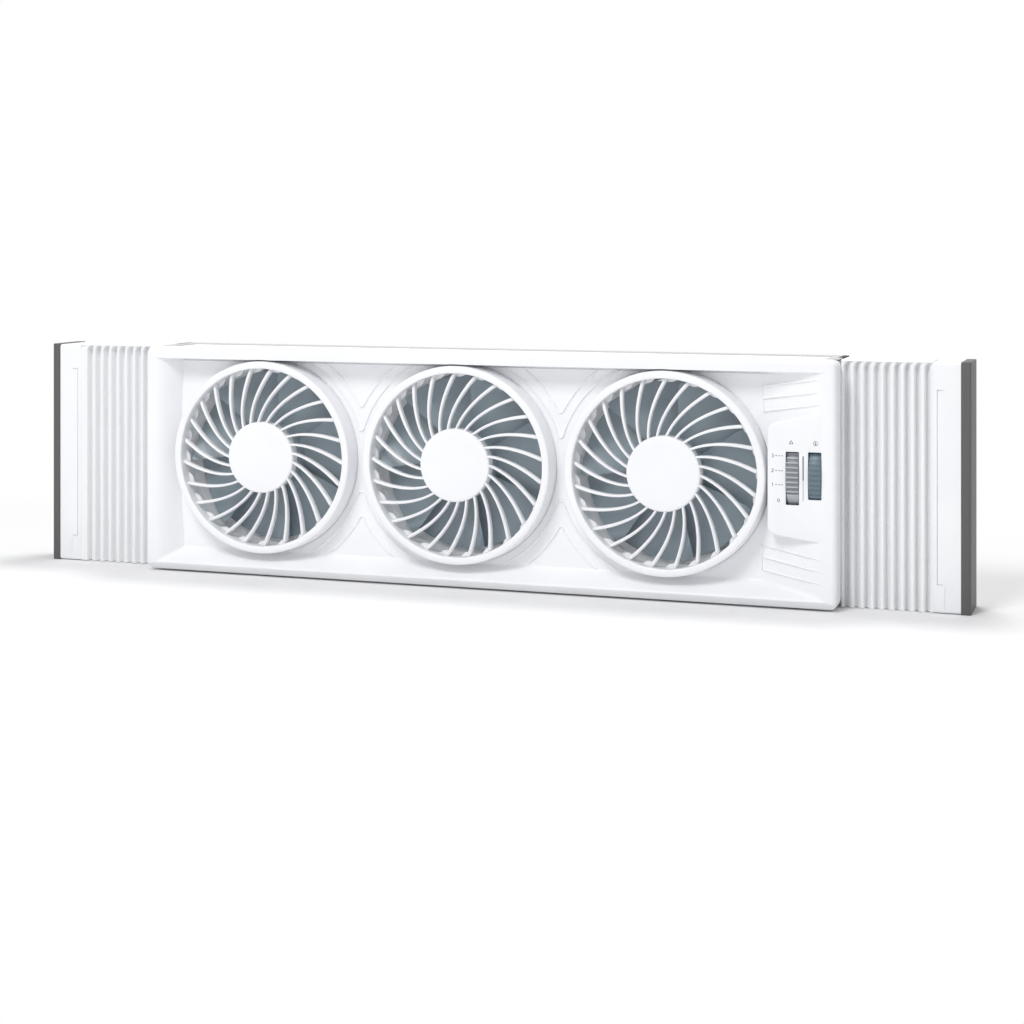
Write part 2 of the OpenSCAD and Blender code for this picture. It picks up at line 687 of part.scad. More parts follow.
module cord_grommet() color("#3a3b3d") difference() {
    union() {
        bar_y(inlet_x, inlet_z, grommet_neck_r, back_wall_y, back_y);
        bar_y(inlet_x, inlet_z, grommet_neck_r + 1.6, back_y, back_y + 1.5);
        bar_y(inlet_x, inlet_z, grommet_neck_r + 1, back_wall_y - 2, back_wall_y);
    }
    bar_y(inlet_x, inlet_z, cord_r, back_wall_y - 3, back_y + 3);
}

// ---------------------------------------------------------------- side panels

// Pleated sheet: a wave of soft ridges along X, drawn in plan and raised to full height.
module bellows(side) {
    x0 = shell_x + fit;
    x1 = tip_x(side) - trim_t - end_plate_w - fit;
    n = pleats_of(side);
    pitch = (x1 - x0) / n;
    steps = 8;
    function wave(i) = panel_y0 + pleat_d / 2 * (1 + cos(360 * i / steps));
    color(white) mirror([side < 0 ? 1 : 0, 0, 0]) translate([0, 0, pleat_z0])
        linear_extrude(pleat_z1 - pleat_z0) polygon(concat(
            [for (i = [0:n * steps]) [x0 + i * pitch / steps, wave(i)]],
            [for (i = [n * steps:-1:0]) [x0 + i * pitch / steps, wave(i) + pleat_y_t]]));
}

module end_plate(side) color(white) mirror([side < 0 ? 1 : 0, 0, 0]) {
    x1 = tip_x(side) - trim_t;
    x0 = x1 - end_plate_w;
    difference() {
        block(x0, x1, panel_y0, panel_y1, panel_z0, plate_z1);
        block(x0 - 1, x1 - wall, panel_y0 + wall, panel_y1 - wall, panel_z0 + wall, plate_z1 - wall);
        // shallow grooves that outline the snap-in flap on the front
        block(x0 + flap_x, x0 + flap_x + groove, panel_y0 - 1, panel_y0 + groove, flap_z[0], flap_z[1]);
        for (z = flap_z)
            block(x0 + flap_x, x0 + flap_x + flap_w, panel_y0 - 1, panel_y0 + groove, z, z + groove);
        for (z = rail_z)
            bar_x(rail_y0 + rail_d / 2, z + rail_h / 2, screw_r + 0.2, x1 - wall - 1, x1 + 1);
        for (z = rail_z)
            bar_x(rail_y0 + rail_d / 2, z + rail_h / 2, head_r + 0.2, x1 - flat_head_t, x1 + 1);
    }
}

// Rubber strip that meets the window jamb, rounded along its outer edges.
module edge_strip(side) color(dark) mirror([side < 0 ? 1 : 0, 0, 0]) {
    x1 = tip_x(side);
    x0 = x1 - trim_t;
    linear_extrude(panel_z1) {
        translate([x0, panel_y0]) square([trim_t - trim_round, panel_d]);
        translate([x0, panel_y0 + trim_round]) square([trim_t, panel_d - 2 * trim_round]);
        for (y = [panel_y0 + trim_round, panel_y1 - trim_round])
            translate([x1 - trim_round, y]) circle(trim_round, $fn = 32);
    }
}

// Channel-section rail, closed at its outer end, where a screw holds it to the end plate.
module rail(side, z) color("#e4e5e7") mirror([side < 0 ? 1 : 0, 0, 0]) {
    x1 = tip_x(side) - trim_t - wall;
    x0 = x1 - rail_len;
    difference() {
        block(x0, x1, rail_y0, rail_y0 + rail_d, z, z + rail_h);
        block(x0 - 1, x1 - rail_end, rail_y0 + rail_t, rail_y0 + rail_d + 1,
              z + rail_t, z + rail_h - rail_t);
        bar_x(rail_y0 + rail_d / 2, z + rail_h / 2, pilot_r, x1 - rail_end + 2, x1 + 1);
    }
}

module rail_screws(side) color(steel) mirror([side < 0 ? 1 : 0, 0, 0]) {
    x1 = tip_x(side) - trim_t;
    for (z = rail_z) {
        bar_x(rail_y0 + rail_d / 2, z + rail_h / 2, screw_r, x1 - screw_bite - wall, x1 - flat_head_t + eps);
        bar_x(rail_y0 + rail_d / 2, z + rail_h / 2, head_r, x1 - flat_head_t, x1 - 0.1);
    }
}

// ---------------------------------------------------------------- screws

// Pan-head screw along Y, driven from the back; seat is where its head lands.
module screw_y(x, z, seat, length) {
    bar_y(x, z, screw_r, seat - length, seat + eps);
    bar_y(x, z, head_r, seat, seat + head_t - 0.2);
}

module housing_screws() color(steel)
    for (p = posts) screw_y(p[0], p[1], post_web_y, post_web_t + screw_bite);

module guard_screws() color(steel)
    for (x = fan_x) translate([x, 0, fan_z])
        for (a = lug_angles) rotate([0, -a, 0]) screw_y(lug_at, 0, back_y, wall + screw_bite);

module motor_screws() color(steel)
    for (x = fan_x, s = [-1, 1])
        screw_y(x + s * motor_screw_at, fan_z, back_y - head_t, back_y - head_t - motor_y1 + motor_screw_d);

front_panel();
rear_housing();
control_bracket();
dial_axle();
speed_dial();
thermostat_dial();
speed_switch();
thermostat();
terminal_block();
wiring_loom();
cord_grommet();
top_seal();
bottom_seal();
front_grille(0);  // front_grille_left
front_grille(1);  // front_grille_centre
front_grille(2);  // front_grille_right
rear_guard(0);  // rear_guard_left
rear_guard(1);  // rear_guard_centre
rear_guard(2);  // rear_guard_right
motor(0);  // motor_left
motor(1);  // motor_centre
motor(2);  // motor_right
bushes(0);  // bushes_left
bushes(1);  // bushes_centre
bushes(2);  // bushes_right
shaft(0);  // shaft_left
shaft(1);  // shaft_centre
shaft(2);  // shaft_right
fan(0);  // fan_left
fan(1);  // fan_centre
fan(2);  // fan_right
fan_nut(0);  // fan_nut_left
fan_nut(1);  // fan_nut_centre
fan_nut(2);  // fan_nut_right
bellows(-1);  // left_bellows
end_plate(-1);  // left_end_plate
edge_strip(-1);  // left_edge_strip
rail(-1, rail_z[1]);  // left_upper_rail
rail(-1, rail_z[0]);  // left_lower_rail
rail_screws(-1);  // left_rail_screws
bellows(1);  // right_bellows
end_plate(1);  // right_end_plate
edge_strip(1);  // right_edge_strip
rail(1, rail_z[1]);  // right_upper_rail
rail(1, rail_z[0]);  // right_lower_rail
rail_screws(1);  // right_rail_screws
housing_screws();
guard_screws();
motor_screws();
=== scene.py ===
"""Window fan: three fans in a moulded housing, with a pull-out pleated panel at each end.

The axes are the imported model's: X along the row of fans, Y from the room to the street, Z up from
the sill. Lengths are millimetres, and become metres where a mesh is made.
"""
import math

import bmesh
import bpy
import numpy as np
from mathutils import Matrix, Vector


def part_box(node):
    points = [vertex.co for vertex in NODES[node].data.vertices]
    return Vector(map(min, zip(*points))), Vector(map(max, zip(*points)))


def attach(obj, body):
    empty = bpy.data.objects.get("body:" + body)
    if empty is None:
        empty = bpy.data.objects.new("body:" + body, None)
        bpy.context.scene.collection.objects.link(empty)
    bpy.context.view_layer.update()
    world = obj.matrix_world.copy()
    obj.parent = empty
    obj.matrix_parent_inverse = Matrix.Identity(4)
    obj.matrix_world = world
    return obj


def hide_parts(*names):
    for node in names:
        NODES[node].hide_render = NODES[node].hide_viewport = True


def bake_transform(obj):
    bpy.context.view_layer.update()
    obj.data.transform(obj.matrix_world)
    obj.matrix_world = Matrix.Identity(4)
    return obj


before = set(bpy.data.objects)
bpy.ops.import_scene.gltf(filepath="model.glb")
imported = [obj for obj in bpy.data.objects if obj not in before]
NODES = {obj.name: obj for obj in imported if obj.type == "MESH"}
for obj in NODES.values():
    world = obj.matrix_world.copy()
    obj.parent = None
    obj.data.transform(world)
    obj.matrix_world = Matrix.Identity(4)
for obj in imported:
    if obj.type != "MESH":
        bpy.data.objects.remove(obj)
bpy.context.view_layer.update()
MM = 0.001

# ---------------------------------------------------------------- camera
# The photograph's camera is level, turned to the left, and framed downwards by its shift.
CAMERA_PLACE = (513, -1425.8, 270.5)
CAMERA_TURN = 19
CAMERA_LENS = 68.2
CAMERA_SENSOR = 36
CAMERA_SHIFT_Y = -0.2686


def make_camera():
    """Camera at the photograph's place and angle."""
    data = bpy.data.cameras.new("camera")
    data.lens = CAMERA_LENS
    data.sensor_width = CAMERA_SENSOR
    data.shift_y = CAMERA_SHIFT_Y
    data.clip_start = 0.05
    data.clip_end = 60
    camera = bpy.data.objects.new("camera", data)
    camera.location = Vector(CAMERA_PLACE) * MM
    camera.rotation_euler = (math.pi / 2, 0, math.radians(CAMERA_TURN))
    bpy.context.scene.collection.objects.link(camera)
    bpy.context.scene.camera = camera


make_camera()
bpy.context.scene.view_settings.view_transform = "Standard"


# ---------------------------------------------------------------- places read from the frame
def corners(node):
    """Lowest and highest corner of a CAD node, in millimetres."""
    low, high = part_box(node)
    return np.array(low) / MM, np.array(high) / MM


# The fans, and the side panels with the sign of their X.
FANS = ("left", "centre", "right")
PANELS = {"left": -1, "right": 1}
BEZEL_LOW, BEZEL_HIGH = corners("front_panel")
SHELL_LOW, SHELL_HIGH = corners("rear_housing")
HALF_W = BEZEL_HIGH[0]
FRONT = BEZEL_LOW[1]
SEAM = SHELL_LOW[1]
BACK = SHELL_HIGH[1]
BEZEL_Z0, BEZEL_Z1 = BEZEL_LOW[2], BEZEL_HIGH[2]
SHELL_X = SHELL_HIGH[0]
SHELL_Z0, SHELL_Z1 = SHELL_LOW[2], SHELL_HIGH[2]
RING_LOW, RING_HIGH = corners("front_grille_centre")
RING_FOOT_R = (RING_HIGH[0] - RING_LOW[0]) / 2
FAN_X = {k: float(sum(c[0] for c in corners("front_grille_" + k)) / 2) for k in FANS}
FAN_Z = (RING_LOW[2] + RING_HIGH[2]) / 2
FAN_PITCH = FAN_X["centre"] - FAN_X["left"]
BLADE_LOW, BLADE_HIGH = corners("fan_centre")
BLADE_R = (BLADE_HIGH[0] - BLADE_LOW[0]) / 2

# Walls and the dish that the three rings stand in.
WALL = 2.5
FLOOR = SEAM
DISH_D = FLOOR - FRONT
RIM_LEFT, RIM_RIGHT, RIM_TOP, RIM_BOTTOM = 14.5, 9.0, 9.0, 7.0
DISH_X0, DISH_X1 = -HALF_W + RIM_LEFT, HALF_W - RIM_RIGHT
DISH_Z0, DISH_Z1 = BEZEL_Z0 + RIM_BOTTOM, BEZEL_Z1 - RIM_TOP
SLOPE_LEFT, SLOPE_RIGHT, SLOPE_BOTTOM, WALL_RUN = 11.0, 49.0, 9.8, 0.9
FLOOR_X1 = DISH_X1 - SLOPE_RIGHT

# Rings, read off the grille's own size. A rib turns back by the first of RIB_TURN times its share of the
# way out, plus the second times that share squared. RIB_PHASE is where a fan's first rib starts.
RING_R = RING_FOOT_R - 0.6
OPENING_R = RING_R - 5.7
SPIGOT_R = OPENING_R + 2.5
HOLE_R = SPIGOT_R + 0.6
DISC_R = 28.2
RIBS = 25
RIB_TURN = math.radians(32), math.radians(-6.7)
RIB_PHASE = {"left": math.radians(-6.1), "centre": math.radians(1.2), "right": math.radians(-1.0)}
FLANGE_R = OPENING_R + 3.5
LUG_R = 5.0
LUG_AT = OPENING_R + 5
LUG_SPOTS = [(LUG_AT * math.cos(a), LUG_AT * math.sin(a)) for a in np.radians([45, 135, 225, 315])]

# Thumbwheels and the plate that they look out of.
SPEED_LOW, SPEED_HIGH = corners("speed_dial")
HEAT_LOW, HEAT_HIGH = corners("thermostat_dial")
WHEEL_R = (SPEED_HIGH[1] - SPEED_LOW[1]) / 2
AXLE_Y = (SPEED_HIGH[1] + SPEED_LOW[1]) / 2
AXLE_Z = (SPEED_HIGH[2] + SPEED_LOW[2]) / 2
SPEED_X = (SPEED_LOW[0] + SPEED_HIGH[0]) / 2
HEAT_X = (HEAT_LOW[0] + HEAT_HIGH[0]) / 2
WHEEL_W = SPEED_HIGH[0] - SPEED_LOW[0]
PLATE_Y = FRONT + 1
PLATE_T = 2.0

# Screw posts that join the bezel to the rear shell.
POST_R = 4.5
POST_WEB_Y = 0.0
POST_WEB_T = 3.0
LOW_POST_Z = DISH_Z0 + SLOPE_BOTTOM + 4
HIGH_POST_Z = DISH_Z1 - 10
BETWEEN_X = (FAN_X["centre"] - FAN_PITCH / 2, FAN_X["centre"] + FAN_PITCH / 2)
SIDE_POST_X = SHELL_X - WALL - POST_R - 1
FLOOR_POSTS = [(x, z) for x in BETWEEN_X for z in (LOW_POST_Z, HIGH_POST_Z)]
SIDE_POSTS = [(x, z) for x in (-SIDE_POST_X, SIDE_POST_X) for z in (BEZEL_Z0 + 36, BEZEL_Z1 - 26)]
POSTS = FLOOR_POSTS + SIDE_POSTS


# ---------------------------------------------------------------- mesh helpers
# A part is (points, faces): an array of points and a list of index arrays, one row a face.
def grid(points, wrap_rows=False, wrap_columns=False):
    """Part from a rows by columns grid of points: a quad joins each four neighbours, and a wrapped
    side joins its last row or column to its first."""
    rows, columns = points.shape[:2]
    i = np.arange(rows if wrap_rows else rows - 1)[:, None]
    j = np.arange(columns if wrap_columns else columns - 1)[None, :]
    i_next, j_next = (i + 1) % rows, (j + 1) % columns
    quads = [i * columns + j, i * columns + j_next, i_next * columns + j_next, i_next * columns + j]
    return points.reshape(-1, 3), [np.stack(quads, -1).reshape(-1, 4)]


def tube(points):
    """Part from a grid whose columns wrap round, with a face over its first row and one over its last."""
    rows, columns = points.shape[:2]
    side = grid(points, wrap_columns=True)
    first = np.arange(columns)[None, :]
    return side[0], side[1] + [first, (rows - 1) * columns + first]


def quad(corner_points):
    """Part with one four-sided face."""
    return np.array(corner_points, float), [np.array([[0, 1, 2, 3]])]


def joined(parts):
    """One part that holds several, with each one's face indices raised by the points before it."""
    starts = np.cumsum([0] + [len(points) for points, _ in parts])
    faces = [face + start for (_, group), start in zip(parts, starts) for face in group]
    return np.concatenate([points for points, _ in parts]), faces


def moved(part, x, y, z):
    """The part, moved along the axes."""
    return part[0] + np.array([x, y, z]), part[1]


def flipped_x(part, side):
    """The part, or for side -1 its mirror image across X = 0."""
    return part[0] * np.array([side, 1, 1]), part[1]


def about_y(part, angle):
    """The part turned about the Y axis, from X towards Z."""
    x, y, z = part[0].T
    c, s = math.cos(angle), math.sin(angle)
    return np.stack([x * c - z * s, y, x * s + z * c], 1), part[1]


def outline(points, radii, steps=5):
    """Closed outline with rounded corners. Each corner is drawn as a parabola that leaves one side and
    meets the next at the radius from the corner, or at under half of the shorter side."""
    points = np.array(points, float)
    radii = np.broadcast_to(radii, len(points))
    before, after = np.roll(points, 1, 0) - points, np.roll(points, -1, 0) - points
    length_b, length_a = np.linalg.norm(before, axis=1), np.linalg.norm(after, axis=1)
    reach = np.minimum(radii, 0.49 * np.minimum(length_b, length_a))
    start = points + before / length_b[:, None] * reach[:, None]
    end = points + after / length_a[:, None] * reach[:, None]
    t = np.linspace(0, 1, steps)[None, :, None]
    curve = start[:, None] * (1 - t) ** 2 + 2 * points[:, None] * t * (1 - t) + end[:, None] * t ** 2
    return curve.reshape(-1, 2)


def turned(profile, x=0.0, z=0.0, segments=96, closed=True):
    """Surface of revolution about a line along Y through (x, z). The profile holds (radius, y); where
    it is closed, its last point joins its first."""
    profile = np.array(profile, float)
    a = np.linspace(0, 2 * math.pi, segments, endpoint=False)[None, :]
    r, y = profile[:, 0][:, None], profile[:, 1][:, None]
    points = np.stack([x + r * np.cos(a), y + 0 * a, z + r * np.sin(a)], -1)
    return grid(points, wrap_rows=closed, wrap_columns=True)


def prism(loop, y0, y1):
    """Straight prism along Y over a closed loop of (x, z) points, with flat ends."""
    return tube(np.stack([np.insert(loop, 1, y, axis=1) for y in (y0, y1)]))


def circle(r, x, z, n):
    """Loop of n points round a circle."""
    a = np.linspace(0, 2 * math.pi, n, endpoint=False)
    return np.stack([x + r * np.cos(a), z + r * np.sin(a)], 1)


def rectangle(x0, x1, z0, z1):
    """Corners of a rectangle, in order round it."""
    return [(x0, z0), (x1, z0), (x1, z1), (x0, z1)]


def block(x0, x1, y0, y1, z0, z1, r=0.0):
    """Straight block, or one with its edges along Y rounded to r."""
    loop = np.array(rectangle(x0, x1, z0, z1), float)
    return prism(outline(loop, r) if r else loop, y0, y1)


def swept(path, across, section):
    """Closed section carried along a path, with flat ends. A section point (s, t) lies s along the
    across vector and t along the up vector, which is square to both the path and the across vector."""
    along = np.gradient(path, axis=0)
    along /= np.linalg.norm(along, axis=1)[:, None]
    across = across - (across * along).sum(1)[:, None] * along
    across /= np.linalg.norm(across, axis=1)[:, None]
    up = np.cross(along, across)
    offset = section[..., 0:1] * across[:, None] + section[..., 1:2] * up[:, None]
    return tube(path[:, None] + offset)


def link(name, mesh):
    """Object at the origin that shows the mesh."""
    made = bpy.data.objects.new(name, mesh)
    bpy.context.scene.collection.objects.link(made)
    return made


def mesh_of(name, parts, sharp=35):
    """Object with one mesh made of the parts: doubles merged, faces outwards, and shaded smooth but
    across edges sharper than the angle."""
    points, faces = joined(parts)
    mesh = bpy.data.meshes.new(name)
    mesh.from_pydata((points * MM).tolist(), [], [row for face in faces for row in face.tolist()])
    shell = bmesh.new()
    shell.from_mesh(mesh)
    bmesh.ops.remove_doubles(shell, verts=shell.verts, dist=2e-6)
    bmesh.ops.dissolve_degenerate(shell, edges=shell.edges, dist=1e-7)
    bmesh.ops.recalc_face_normals(shell, faces=shell.faces)
    shell.to_mesh(mesh)
    shell.free()
    smooth(mesh, sharp)
    return link(name, mesh)


def add_parts(target, name, parts):
    """Adds the parts to the object's mesh."""
    extra = mesh_of(name, parts, 40)
    merged = bmesh.new()
    for mesh in (target.data, extra.data):
        merged.from_mesh(mesh)
    merged.to_mesh(target.data)
    merged.free()
    bpy.data.objects.remove(extra)


def smooth(mesh, sharp):
    """Shades the mesh smooth, but across edges sharper than the angle."""
    mesh.shade_smooth()
    mesh.set_sharp_from_angle(angle=math.radians(sharp))


def cut(target, parts, sharp=35):
    """Takes the closed parts out of the object's mesh."""
    tool = mesh_of("cutter", parts)
    modifier = target.modifiers.new("cut", "BOOLEAN")
    modifier.operation, modifier.solver, modifier.object = "DIFFERENCE", "EXACT", tool
    modifier.use_self = True
    view = bpy.context.evaluated_depsgraph_get()
    target.data = bpy.data.meshes.new_from_object(target.evaluated_get(view))
    target.modifiers.clear()
    bpy.data.objects.remove(tool)
    smooth(target.data, sharp)


def place(piece, body, material, slot, *replaced):
    """Gives the piece its finish and its body, and hides the CAD nodes that it stands for."""
    piece.data.materials.clear()
    piece.data.materials.append(material)
    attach(piece, body)
    if replaced:
        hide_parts(*replaced)
    return piece


def softened(node, body, material, slot, width=0.5, segments=2):
    """Copy of a CAD node with its triangles merged to flat faces and every hard edge rounded."""
    mesh = NODES[node].data.copy()
    shell = bmesh.new()
    shell.from_mesh(mesh)
    bmesh.ops.remove_doubles(shell, verts=shell.verts, dist=2e-6)
    bmesh.ops.dissolve_limit(shell, angle_limit=math.radians(1), verts=shell.verts, edges=shell.edges)
    hard = [e for e in shell.edges if len(e.link_faces) == 2 and e.calc_face_angle() > math.radians(40)]
    bmesh.ops.bevel(shell, geom=hard, offset=width * MM, segments=segments, affect="EDGES",
                    profile=0.5, clamp_overlap=True)
    shell.to_mesh(mesh)
    shell.free()
    smooth(mesh, 40)
    return place(link(node + "_finished", mesh), body, material, slot, node)


# ---------------------------------------------------------------- materials
def linear(code):
    """sRGB hex colour as linear RGBA."""
    shares = [int(code[i:i + 2], 16) / 255 for i in (1, 3, 5)]
    return [s / 12.92 if s <= 0.04045 else ((s + 0.055) / 1.055) ** 2.4 for s in shares] + [1.0]


def add(tree, kind, settings=None, **sockets):
    """Adds a node. Settings are its properties. Sockets are its inputs, by name with _ for a space or
    by number as in s0. Each takes a value, another node's output, or a node for its first output."""
    made = tree.nodes.new(kind)
    for key, value in (settings or {}).items():
        setattr(made, key, value)
    for key, value in sockets.items():
        numbered = key[0] == "s" and key[1:].isdigit()
        socket = made.inputs[int(key[1:]) if numbered else key.replace("_", " ")]
        if isinstance(value, bpy.types.Node):
            value = value.outputs[0]
        if isinstance(value, bpy.types.NodeSocket):
            tree.links.new(value, socket)
        else:
            socket.default_value = value
    return made


def new_material(name):
    """Empty node material, its tree, and Object coordinates in metres."""
    material = bpy.data.materials.new(name)
    material.use_nodes = True
    tree = material.node_tree
    tree.nodes.clear()
    return material, tree, add(tree, "ShaderNodeTexCoord").outputs["Object"]


COLOURS = {"data_type": "RGBA"}


def skin(tree, marks, tint, gloss, relief, **more):
    """Surface in a tint, whose roughness and height follow the same marks. Gloss is the roughness and how
    far it goes each way, and relief is the strength of the bump and its height in mm."""
    rough = add(tree, "ShaderNodeMapRange", s0=marks, s1=0.3, s2=0.7, s3=gloss[0] - gloss[1],
                s4=gloss[0] + gloss[1])
    bump = add(tree, "ShaderNodeBump", Strength=relief[0], Distance=relief[1] * MM, Height=marks)
    shader = add(tree, "ShaderNodeBsdfPrincipled", Base_Color=tint, Roughness=rough, Normal=bump, **more)
    add(tree, "ShaderNodeOutputMaterial", Surface=shader)


MELT_DRIFT = 45.0


def moulded(name, light, deep, roughness, grain=0.7, relief=0.02, ior=1.53):
    """Injection-moulded plastic. A fine eroded texture of the tool, grain mm across and relief mm deep,
    breaks up its gloss, and its tint drifts a little over 45 mm, where the melt cooled unevenly."""
    material, tree, place_at = new_material(name)
    texture = add(tree, "ShaderNodeTexNoise", Vector=place_at, Scale=1 / (grain * MM), Detail=3.0)
    cloud = add(tree, "ShaderNodeTexNoise", Vector=place_at, Scale=1 / (MELT_DRIFT * MM), Detail=2.0)
    share = add(tree, "ShaderNodeMapRange", s0=cloud, s1=0.3, s2=0.7)
    tint = add(tree, "ShaderNodeMix", COLOURS, s0=share, s6=linear(deep), s7=linear(light)).outputs[2]
    skin(tree, texture, tint, (roughness, 0.05), (0.35, relief), IOR=ior)
    return material


DIAL_GRAIN = 0.5


def dial(name, crest, groove, rib_h):
    """Moulded plastic of a thumbwheel, with painted shade: its tint darkens from the crest's to the groove's
    over the height of its ribs, by the distance from the axle, as shade in the grooves. A fine texture
    breaks up its gloss."""
    material, tree, place_at = new_material(name)
    axle = (0, AXLE_Y * MM, AXLE_Z * MM)
    at = add(tree, "ShaderNodeVectorMath", {"operation": "SUBTRACT"}, s0=place_at, s1=axle)
    flat = add(tree, "ShaderNodeVectorMath", {"operation": "MULTIPLY"}, s0=at, s1=(0, 1, 1))
    out = add(tree, "ShaderNodeVectorMath", {"operation": "LENGTH"}, s0=flat).outputs["Value"]
    # Painted shade: deeper into the grooves, the tint turns to the darker groove colour.
    share = add(tree, "ShaderNodeMapRange", s0=out, s1=(WHEEL_R - rib_h) * MM, s2=(WHEEL_R - 0.15) * MM)
    tint = add(tree, "ShaderNodeMix", COLOURS, s0=share, s6=linear(groove), s7=linear(crest)).outputs[2]
    texture = add(tree, "ShaderNodeTexNoise", Vector=place_at, Scale=1 / (DIAL_GRAIN * MM), Detail=3.0)
    skin(tree, texture, tint, (0.4, 0.05), (0.35, 0.02), IOR=1.53)
    return material


def drawn(name, light, deep, roughness, line, length, relief):
    """Extruded plastic or rubber: streaks line mm apart and length mm long run up the piece, where the
    die scored it, in colour, gloss and height."""
    material, tree, place_at = new_material(name)
    scale = (1 / (line * MM), 1 / (line * MM), 1 / (length * MM))
    stretched = add(tree, "ShaderNodeMapping", Vector=place_at, Scale=scale)
    streak = add(tree, "ShaderNodeTexNoise", Vector=stretched, Scale=1.0, Detail=4.0)
    share = add(tree, "ShaderNodeMapRange", s0=streak, s1=0.3, s2=0.7)
    tint = add(tree, "ShaderNodeMix", COLOURS, s0=share, s6=linear(deep), s7=linear(light)).outputs[2]
    skin(tree, streak, tint, (roughness, 0.06), (0.4, relief), IOR=1.5)
    return material


FOAM_CELL = 0.8
PAD_X, PAD_Y = 274.0, 6.0


def foam(name, light, deep, pad=None):
    """Closed-cell rubber foam in a dull skin, with open pores 0.8 mm across, darkened inside as painted
    shade.
    Where a pad's tint is given, the foam has that tint past PAD_X from the middle and behind PAD_Y."""
    material, tree, place_at = new_material(name)
    pores = add(tree, "ShaderNodeTexVoronoi", Vector=place_at, Scale=1 / (FOAM_CELL * MM))
    # Painted shade: the pores' insides take the darker tint.
    depth = add(tree, "ShaderNodeMapRange", s0=pores, s1=0.1, s2=0.6)
    bump = add(tree, "ShaderNodeBump", Strength=0.6, Distance=0.15 * MM, Height=depth)
    tint = add(tree, "ShaderNodeMix", COLOURS, s0=depth, s6=linear(deep), s7=linear(light)).outputs[2]
    if pad:
        at = add(tree, "ShaderNodeSeparateXYZ", s0=place_at)
        across = add(tree, "ShaderNodeMath", {"operation": "ABSOLUTE"}, s0=at)
        end = add(tree, "ShaderNodeMapRange", s0=across, s1=(PAD_X - 0.5) * MM, s2=(PAD_X + 0.5) * MM)
        behind = add(tree, "ShaderNodeMapRange", s0=at.outputs[1], s1=(PAD_Y - 0.5) * MM,
                     s2=(PAD_Y + 0.5) * MM)
        on_pad = add(tree, "ShaderNodeMath", {"operation": "MULTIPLY"}, s0=end, s1=behind)
        tint = add(tree, "ShaderNodeMix", COLOURS, s0=on_pad, s6=tint, s7=linear(pad)).outputs[2]
    shader = add(tree, "ShaderNodeBsdfPrincipled", Base_Color=tint, Roughness=0.85, Normal=bump)
    add(tree, "ShaderNodeOutputMaterial", Surface=shader)
    return material


def metal(name, light, deep, roughness, line, length=None):
    """Metal: a mottled or, with a length, finely scratched skin whose marks are line mm across."""
    material, tree, place_at = new_material(name)
    scale = (1 / (line * MM), 1 / ((length or line) * MM), 1 / (line * MM))
    stretched = add(tree, "ShaderNodeMapping", Vector=place_at, Scale=scale)
    marks = add(tree, "ShaderNodeTexNoise", Vector=stretched, Scale=1.0, Detail=5.0)
    share = add(tree, "ShaderNodeMapRange", s0=marks, s1=0.35, s2=0.65)
    tint = add(tree, "ShaderNodeMix", COLOURS, s0=share, s6=linear(deep), s7=linear(light)).outputs[2]
    skin(tree, marks, tint, (roughness, 0.08), (0.2, 0.01), Metallic=1.0)
    return material


# ABS, moulded with a fine matt texture: cool white and satin, as the housing and the grilles show.
WHITE_ABS = moulded("white_abs", "#F6F7F9", "#F2F3F6", 0.42)
# Polypropylene sheet folded into pleats: the same white, a little glossier, with faint drawn streaks.
WHITE_PLEAT = drawn("white_polypropylene_pleat", "#F6F7F8", "#F1F2F4", 0.36, 0.9, 70, 0.01)
# Thermoplastic rubber, extruded: mid grey and dull, with faint lines along it.
TRIM_RUBBER = drawn("grey_trim_rubber", "#5C5C5D", "#555556", 0.55, 0.8, 90, 0.03)
# EPDM foam: near black, with its pores darkened inside as painted shade.
SEAL_FOAM = foam("black_epdm_foam", "#4E4F51", "#2C2D2F")
# The same foam under a pale grey skin, for the strip along the top, with a dark tint on its two corner pads.
LIP_FOAM = foam("skinned_epdm_foam", "#CDCED0", "#BDBEC0", pad="#3B3C3E")
# Polypropylene fan blades: slate grey with a soft gloss.
FAN_SLATE = moulded("slate_polypropylene", "#97A4AC", "#8B979F", 0.36, grain=1.2, relief=0.015)
# ABS dial in mid grey, with a silky touch: its grooves are painted darker than its thumb ribs, as painted
# shade.
DIAL_GREY = dial("mid_grey_abs", "#B4B9C0", "#80858C", 1.0)
# ABS dial in slate blue, its grooves painted a little darker than its ribs, as painted shade.
DIAL_BLUE = dial("slate_blue_abs", "#687B86", "#5E717C", 0.5)
# Unpainted ABS of the inner parts: a warmer white, glossier, straight from the tool.
INNER_ABS = moulded("natural_abs", "#DEDFDD", "#D5D6D3", 0.38)
# Phenolic of the switch: near black with a brown cast.
PHENOLIC = moulded("black_phenolic", "#3D3B3A", "#343231", 0.45, grain=0.4)
# Steatite base of the thermostat: a pale glazed ceramic.
STEATITE = moulded("pale_steatite", "#D9CCB0", "#CDBF9F", 0.3, grain=0.3, ior=1.6)
# PVC of the inlet's grommet: charcoal with a waxy gloss.
PVC = moulded("charcoal_pvc", "#3A3C40", "#303236", 0.42, grain=0.6)
# PVC of the wires: mid grey.
WIRE_GREY = moulded("grey_pvc", "#8D9195", "#7F8387", 0.45, grain=0.6)
# Zinc-plated steel of screws and nuts: bright, with a bluish mottle.
ZINC_STEEL = metal("zinc_plated_steel", "#C9CDD2", "#A9AEB5", 0.32, 0.6)
# Pressed steel of the motor cans: duller, with long rolling marks.
MOTOR_STEEL = metal("rolled_motor_steel", "#A7ABB0", "#8C9196", 0.38, 0.25, 8)
# Ground steel of shafts and the dial axle.
GROUND_STEEL = metal("ground_steel", "#D2D5D8", "#B9BDC1", 0.22, 0.12, 6)
# Sintered bronze of the bushes: warm, with open grains.
BRONZE = metal("sintered_bronze", "#B98E55", "#8E6838", 0.45, 0.4)
